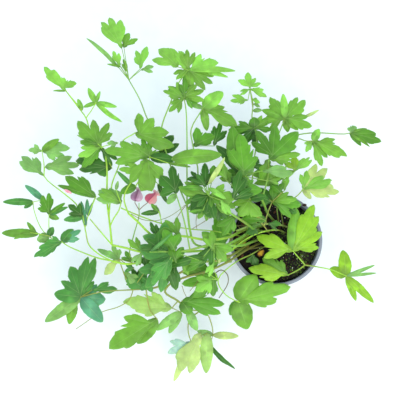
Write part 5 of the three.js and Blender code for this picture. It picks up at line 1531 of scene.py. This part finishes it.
def pot_profile():
    """The pot's section from under its base, up its wall, over its rolled lip and down inside."""
    outer = RIM_RADIUS
    inner = RIM_RADIUS - LIP_WIDTH
    top = POT_HEIGHT
    under = POT_HEIGHT - LIP_HEIGHT
    foot = BASE_RADIUS - FOOT_WIDTH
    low, high = BAND
    band = [(low, 0), (low + BAND_SLOPE, BAND_HEIGHT), (high - BAND_SLOPE, BAND_HEIGHT), (high, 0)]
    return [
        (0, FOOT_HEIGHT), (foot - 0.6, FOOT_HEIGHT), (foot, 0), (BASE_RADIUS - 1, 0),
        (BASE_RADIUS - 0.2, 0.3), (outside_at(1.2), 1.2),
        *((outside_at(height) + proud, height) for height, proud in band),
        (outside_at(90), 90), (outside_at(under - 8), under - 8),
        (outside_at(under - 2), under - 2), (outside_at(under) + 0.4, under - 0.5),
        (outer - 1.6, under), (outer - 0.9, under + 0.5), (outer - 0.7, under + 1.4),
        (outer - 0.4, 160), (outer, top - 1.6), (outer - 0.25, top - 0.7),
        (outer - 0.8, top - 0.15), (outer - 1.7, top), (inner + 1.8, top),
        (inner + 0.9, top - 0.15), (inner + 0.25, top - 0.7), (inner, top - 1.6),
        (outside_at(under) - WALL + 0.3, under + 1), (outside_at(under) - WALL, under - WALL),
        (outside_at(60) - WALL, 60), (BASE_RADIUS - WALL, FLOOR + 1),
        (BASE_RADIUS - WALL - 1, FLOOR), (0, FLOOR),
    ]


def soil_lump(x, y):
    """The soil's smooth waves, as in the part's source."""
    return SOIL_LUMP * (math.sin(x * 0.17 + 1.3) * math.cos(y * 0.14)
                        + 0.6 * math.sin(x * 0.31 - y * 0.26)
                        + 0.5 * math.cos(y * 0.43 + x * 0.11))


def soil_height(x, y):
    """The soil's surface with its clods."""
    clod = CLOD_HEIGHT * noise.noise(Vector((x, y, 0)) * CLOD_SCALE)
    return SOIL_LEVEL + soil_lump(x, y) + clod


def scatter(piece, draw, count, grains, turns=(0, math.tau)):
    """Lumps strewn over the soil within a range of angles, half sunk into it."""
    sizes, colours, rounds = grains
    reach = outside_at(SOIL_LEVEL) - WALL - SOIL_GAP - GRAIN_MARGIN
    for _ in range(count):
        distance = reach * math.sqrt(draw.random())
        turn = draw.uniform(*turns)
        x, y = distance * math.cos(turn), distance * math.sin(turn)
        size = draw.uniform(*sizes)
        shape = (size, size * draw.uniform(*GRAIN_WIDTH), size * draw.uniform(*GRAIN_HEIGHT))
        code = draw.choice(colours)
        spin = Matrix.Rotation(draw.uniform(0, math.tau), 3, "Z")
        lean = Matrix.Rotation(draw.uniform(-GRAIN_LEAN, GRAIN_LEAN), 3, "X")
        centre = Vector((x, y, soil_height(x, y) + shape[2] * GRAIN_LIFT))
        add_ball(piece, centre, shape, to_linear(code), spin @ lean, rounds)


# Settings that a user would change


class HeartTones(bpy.types.PropertyGroup):
    """The colours of leaves and stems."""

    __annotations__ = {
        tone: FloatVectorProperty(name=tone.replace("_", " ").capitalize(), description=words,
                                  default=to_linear(code)[:3], subtype="COLOR", min=0, max=1)
        for tone, (words, code) in TONES.items()
    }


class HeartPlant(bpy.types.PropertyGroup):
    """The sizes of the plant's fine parts."""

    blade_thickness: FloatProperty(
        name="Blade thickness", description="How thick a leaf blade is at its middle",
        default=0.6 * MM, min=0.2 * MM, max=2 * MM, unit="LENGTH", subtype="DISTANCE")
    stem_taper: FloatProperty(
        name="Stem taper", description="Share of its thickness that a stem keeps at its end",
        default=0.78, min=0.3, max=1, subtype="FACTOR")
    joint_swelling: FloatProperty(
        name="Joint swelling", description="Size of a joint beside the stalks that leave it",
        default=1.7, min=1, max=3)
    furrow: FloatProperty(
        name="Heart furrow", description="Depth of the furrow between the two outer petals",
        default=0.5, min=0, max=0.9, subtype="FACTOR")


class HeartSoil(bpy.types.PropertyGroup):
    """What lies loose on the soil."""

    crumbs: IntProperty(
        name="Crumbs", description="How many crumbs of bark and peat lie on the soil",
        default=1500, min=0, max=4000)
    perlite: IntProperty(
        name="Perlite", description="How many white grains of perlite lie on the soil",
        default=90, min=0, max=400)
    moss: IntProperty(
        name="Moss", description="How many cushions of moss grow on the lit side",
        default=420, min=0, max=1500)


class HeartStudio(bpy.types.PropertyGroup):
    """The light that the plant stands in."""

    sky_strength: FloatProperty(
        name="Surrounding light", description="Strength of the even light from all round",
        default=1.13, min=0, max=5)
    key_power: FloatProperty(
        name="Key light", description="Power of the soft light overhead",
        default=25, min=0, max=500, unit="POWER")
    key_size: FloatProperty(
        name="Key size", description="Width of the soft light overhead",
        default=1.4, min=0.1, max=5, unit="LENGTH", subtype="DISTANCE")


# Operators, one for each piece or group of like pieces


class PLANT_OT_leafy_stems(bpy.types.Operator):
    """Grow the leafy stems with their petioles and cut leaflets"""

    bl_idname = "plant.leafy_stems"
    bl_label = "Leafy stems"

    def execute(self, context):
        settings = context.scene.heart_plant
        materials = [leaf_material("living_leaf_upper_side", False),
                     leaf_material("living_leaf_underside", True), stem_material()]
        for short, slot, root, stem_tone, stems in STEMS:
            name = f"leafy_stem_{short}"
            draw = random.Random(f"{SEED} {name}")
            piece = Piece()
            add_stems(piece, root, stems, draw, settings, stem_tone)
            for stem, fork, leaflets in LEAVES:
                if stem == short:
                    add_leaf(piece, fork, leaflets, draw, settings, stem_tone)
            for stem, tone, radius, route in THIN_STEMS:
                if stem == short:
                    points = smooth_route([seen(pixel) for pixel in route], STEM_STEPS)
                    add_stem(piece, points, (radius, radius * settings.stem_taper),
                             tint_of(tone, draw), STALK_SIDES)
            piece.finish(f"fine_{name}", materials, [name])
        return {"FINISHED"}


class PLANT_OT_withered_leaves(bpy.types.Operator):
    """Lay the yellowed leaves over the soil"""

    bl_idname = "plant.withered_leaves"
    bl_label = "Withered leaves"

    def execute(self, context):
        settings = context.scene.heart_plant
        material = withered_material()
        for name, root, leaflet in WITHERED:
            piece = Piece()
            draw = random.Random(f"{SEED} {name}")
            points = smooth_route(rooted(root, [leaflet[1]]), STEM_STEPS)
            add_stem(piece, points, (STALK_RADIUS, STALK_RADIUS * WITHERED_END),
                     tint_of("olive_stem", draw), STALK_SIDES)
            add_blade(piece, leaflet, seen(leaflet[1]), settings.blade_thickness / MM,
                      tint_of("gold", draw))
            piece.finish(f"fine_{name}", [material] * 3, [name])
        return {"FINISHED"}


class PLANT_OT_flower_stalk(bpy.types.Operator):
    """Grow the stalk that the flowers hang from"""

    bl_idname = "plant.flower_stalk"
    bl_label = "Flower stalk"

    def execute(self, context):
        settings = context.scene.heart_plant
        piece = Piece()
        draw = random.Random(SEED)
        add_stems(piece, SPRAY_ROOT, SPRAY_STEMS, draw, settings, "green_stem")
        knot = seen(SPRAY_STEMS[0][1][-1])
        for _, at, turn, lean, _ in FLOWERS:
            place = placing(at, turn, lean)
            above, notch = (place @ Vector((0, 0, height))
                            for height in (STALK_DROP, NOTCH_DEPTH))
            bend = knot.lerp(above, BEND_PLACE) + UP * BEND_RISE
            add_stem(piece, smooth_route([knot, bend, above, notch], STEM_STEPS),
                     (STALK_RADIUS, STALK_RADIUS * STALK_ENDS[1]), tint_of("rosy_stem", draw),
                     STALK_SIDES)
        piece.finish("fine_flower_stalk_left", [stem_material()],
                     ["flower_stalk_left"])
        return {"FINISHED"}


class PLANT_OT_flowers(bpy.types.Operator):
    """Hang the heart-shaped flowers with their inner petals"""

    bl_idname = "plant.flowers"
    bl_label = "Flowers"

    def execute(self, context):
        settings = context.scene.heart_plant
        for name, at, turn, lean, colours in FLOWERS:
            place = placing(at, turn, lean)
            outer = Piece()
            add_heart(outer, place, settings)
            petal = petal_material(f"{name}_petal", *colours)
            outer.finish(f"fine_{name}", [petal], [name])
            inner = Piece()
            add_inner(inner, place)
            pale = petal_material("white_inner_petal", *INNER_PETAL)
            inner.finish(f"fine_{name}_inner", [pale], [f"{name}_inner"])
        return {"FINISHED"}


class PLANT_OT_fallen_petal(bpy.types.Operator):
    """Drop a petal onto a leaf"""

    bl_idname = "plant.fallen_petal"
    bl_label = "Fallen petal"

    def execute(self, context):
        pixel, sizes, turn, colours = FALLEN_PETAL
        piece = Piece()
        add_ball(piece, seen(pixel), sizes, (1, 1, 1, 1),
                 Matrix.Rotation(math.radians(turn), 3, "Z"), 3)
        skin = petal_material("fallen_petal_skin", *colours)
        piece.finish("fallen_petal", [skin])
        return {"FINISHED"}


class PLANT_OT_nursery_pot(bpy.types.Operator):
    """Mould the nursery pot with its rolled lip, foot and drain holes"""

    bl_idname = "plant.nursery_pot"
    bl_label = "Nursery pot"

    def execute(self, context):
        piece = Piece()
        spun(piece.bm, pot_profile(), POT_STEPS)
        made = piece.finish("fine_nursery_pot", [pot_material()],
                            ["nursery_pot"])
        drills = Piece()
        for hole in range(DRAIN_HOLES):
            turn = math.tau * hole / DRAIN_HOLES
            place = Matrix.Translation((DRAIN_RING * math.cos(turn),
                                        DRAIN_RING * math.sin(turn), FLOOR / 2))
            bmesh.ops.create_cone(drills.bm, cap_ends=True, segments=DRAIN_STEPS,
                                  radius1=DRAIN_RADIUS, radius2=DRAIN_RADIUS,
                                  depth=FLOOR * 4, matrix=place)
        drill = drills.finish("drain_drills", [pot_material()])
        cut = made.modifiers.new("drains", "BOOLEAN")
        cut.operation = "DIFFERENCE"
        cut.solver = "EXACT"
        cut.object = drill
        shape = made.evaluated_get(context.evaluated_depsgraph_get())
        mesh = bpy.data.meshes.new_from_object(shape)
        made.modifiers.remove(cut)
        made.data = mesh
        mesh.shade_smooth()
        bpy.data.objects.remove(drill)
        if len(mesh.polygons) < POT_STEPS * 20:
            raise RuntimeError("the pot lost its shape when its drain holes were cut")
        return {"FINISHED"}


class PLANT_OT_potting_soil(bpy.types.Operator):
    """Fill the pot with soil, and strew its crumbs, perlite and moss"""

    bl_idname = "plant.potting_soil"
    bl_label = "Potting soil"

    def execute(self, context):
        soil = context.scene.heart_soil
        body = Piece()
        edge = outside_at(SOIL_LEVEL) - WALL - SOIL_GAP
        low = FLOOR + SOIL_LIFT
        profile = [(0, low), (outside_at(low) - WALL - SOIL_GAP, low),
                   (edge, SOIL_LEVEL - SOIL_LUMP * EDGE_DROP)]
        profile += [(edge * share / SOIL_RINGS, SOIL_LEVEL)
                    for share in range(SOIL_RINGS - 1, -1, -1)]
        spun(body.bm, profile, SOIL_STEPS)
        for vert in body.bm.verts:
            if vert.co.z > SOIL_LEVEL - 1:
                vert.co.z = soil_height(vert.co.x, vert.co.y)
        body.finish("fine_potting_soil", [peat_material()], ["potting_soil"])
        draw = random.Random(SEED)
        loose = Piece()
        scatter(loose, draw, soil.crumbs, CRUMBS)
        scatter(loose, draw, soil.crumbs // CRUMBS_TO_BARK, BARK)
        scatter(loose, draw, soil.perlite, PERLITE)
        scatter(loose, draw, soil.moss, MOSS, LIT_SIDE)
        pixel, sizes, code = RIM_CLOD
        add_ball(loose, seen(pixel), sizes, to_linear(code))
        loose.finish("soil_crumbs", [crumb_material()])
        return {"FINISHED"}


class PLANT_OT_studio(bpy.types.Operator):
    """Set the paper sweep, the soft lights and the camera over the plant"""

    bl_idname = "plant.studio"
    bl_label = "Studio"

    def execute(self, context):
        scene = context.scene
        studio = scene.heart_studio
        bm = bmesh.new()
        bmesh.ops.create_grid(bm, x_segments=4, y_segments=4, size=FLOOR_REACH * MM)
        mesh = bpy.data.meshes.new("paper_sweep")
        bm.to_mesh(mesh)
        bm.free()
        mesh.materials.append(floor_material())
        sweep = bpy.data.objects.new("paper_sweep", mesh)

        world = bpy.data.worlds.new("pale_studio")
        world.use_nodes = True
        tree = world.node_tree
        tree.nodes.clear()
        sky = add_node(tree, "ShaderNodeBackground", {
            "Color": to_linear("e6f6fe"), "Strength": studio.sky_strength})
        add_node(tree, "ShaderNodeOutputWorld", {"Surface": sky.outputs[0]})
        scene.world = world
        scene.view_settings.view_transform = "Standard"

        key = bpy.data.lights.new("soft_key", "AREA")
        key.energy = studio.key_power
        key.color = to_linear("fffaf0")[:3]
        key.size = studio.key_size
        lamp = bpy.data.objects.new("soft_key", key)
        lamp.location = KEY_PLACE
        lamp.rotation_euler = (-Vector(KEY_PLACE)).to_track_quat("-Z", "Y").to_euler()

        camera = bpy.data.cameras.new("view_from_above")
        camera.lens = GRID_REACH * SENSOR_WIDTH / (GRID_MIDDLE * 2)
        camera.sensor_width = SENSOR_WIDTH
        eye = bpy.data.objects.new("view_from_above", camera)
        eye.location = EYE * MM
        eye.rotation_euler = (EYE_TILT, 0, 0)
        for item in (sweep, lamp, eye):
            scene.collection.objects.link(item)
        scene.camera = eye
        return {"FINISHED"}


OPERATORS = (PLANT_OT_nursery_pot, PLANT_OT_potting_soil, PLANT_OT_leafy_stems,
             PLANT_OT_withered_leaves, PLANT_OT_flower_stalk, PLANT_OT_flowers,
             PLANT_OT_fallen_petal, PLANT_OT_studio)
SETTINGS = (("heart_tones", HeartTones), ("heart_plant", HeartPlant),
            ("heart_soil", HeartSoil), ("heart_studio", HeartStudio))


class PLANT_PT_bleeding_heart(bpy.types.Panel):
    """Lists what the plant is made of, and its settings"""

    bl_label = "Bleeding heart"
    bl_space_type = "VIEW_3D"
    bl_region_type = "UI"
    bl_category = "Bleeding heart"

    def draw(self, context):
        for operator in OPERATORS:
            self.layout.operator(operator.bl_idname)
        for group, kind in SETTINGS:
            box = self.layout.box()
            for name in kind.__annotations__:
                box.prop(getattr(context.scene, group), name)


def register():
    for group, kind in SETTINGS:
        bpy.utils.register_class(kind)
        setattr(bpy.types.Scene, group, bpy.props.PointerProperty(type=kind))
    for kind in (*OPERATORS, PLANT_PT_bleeding_heart):
        bpy.utils.register_class(kind)


def unregister():
    for kind in (PLANT_PT_bleeding_heart, *reversed(OPERATORS)):
        bpy.utils.unregister_class(kind)
    for group, kind in reversed(SETTINGS):
        delattr(bpy.types.Scene, group)
        bpy.utils.unregister_class(kind)


def main():
    register()
    for operator in OPERATORS:
        group, action = operator.bl_idname.split(".")
        getattr(getattr(bpy.ops, group), action)()
    for mesh in templates.values():
        bpy.data.meshes.remove(mesh)
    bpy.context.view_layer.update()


if __name__ == "__main__":
    main()
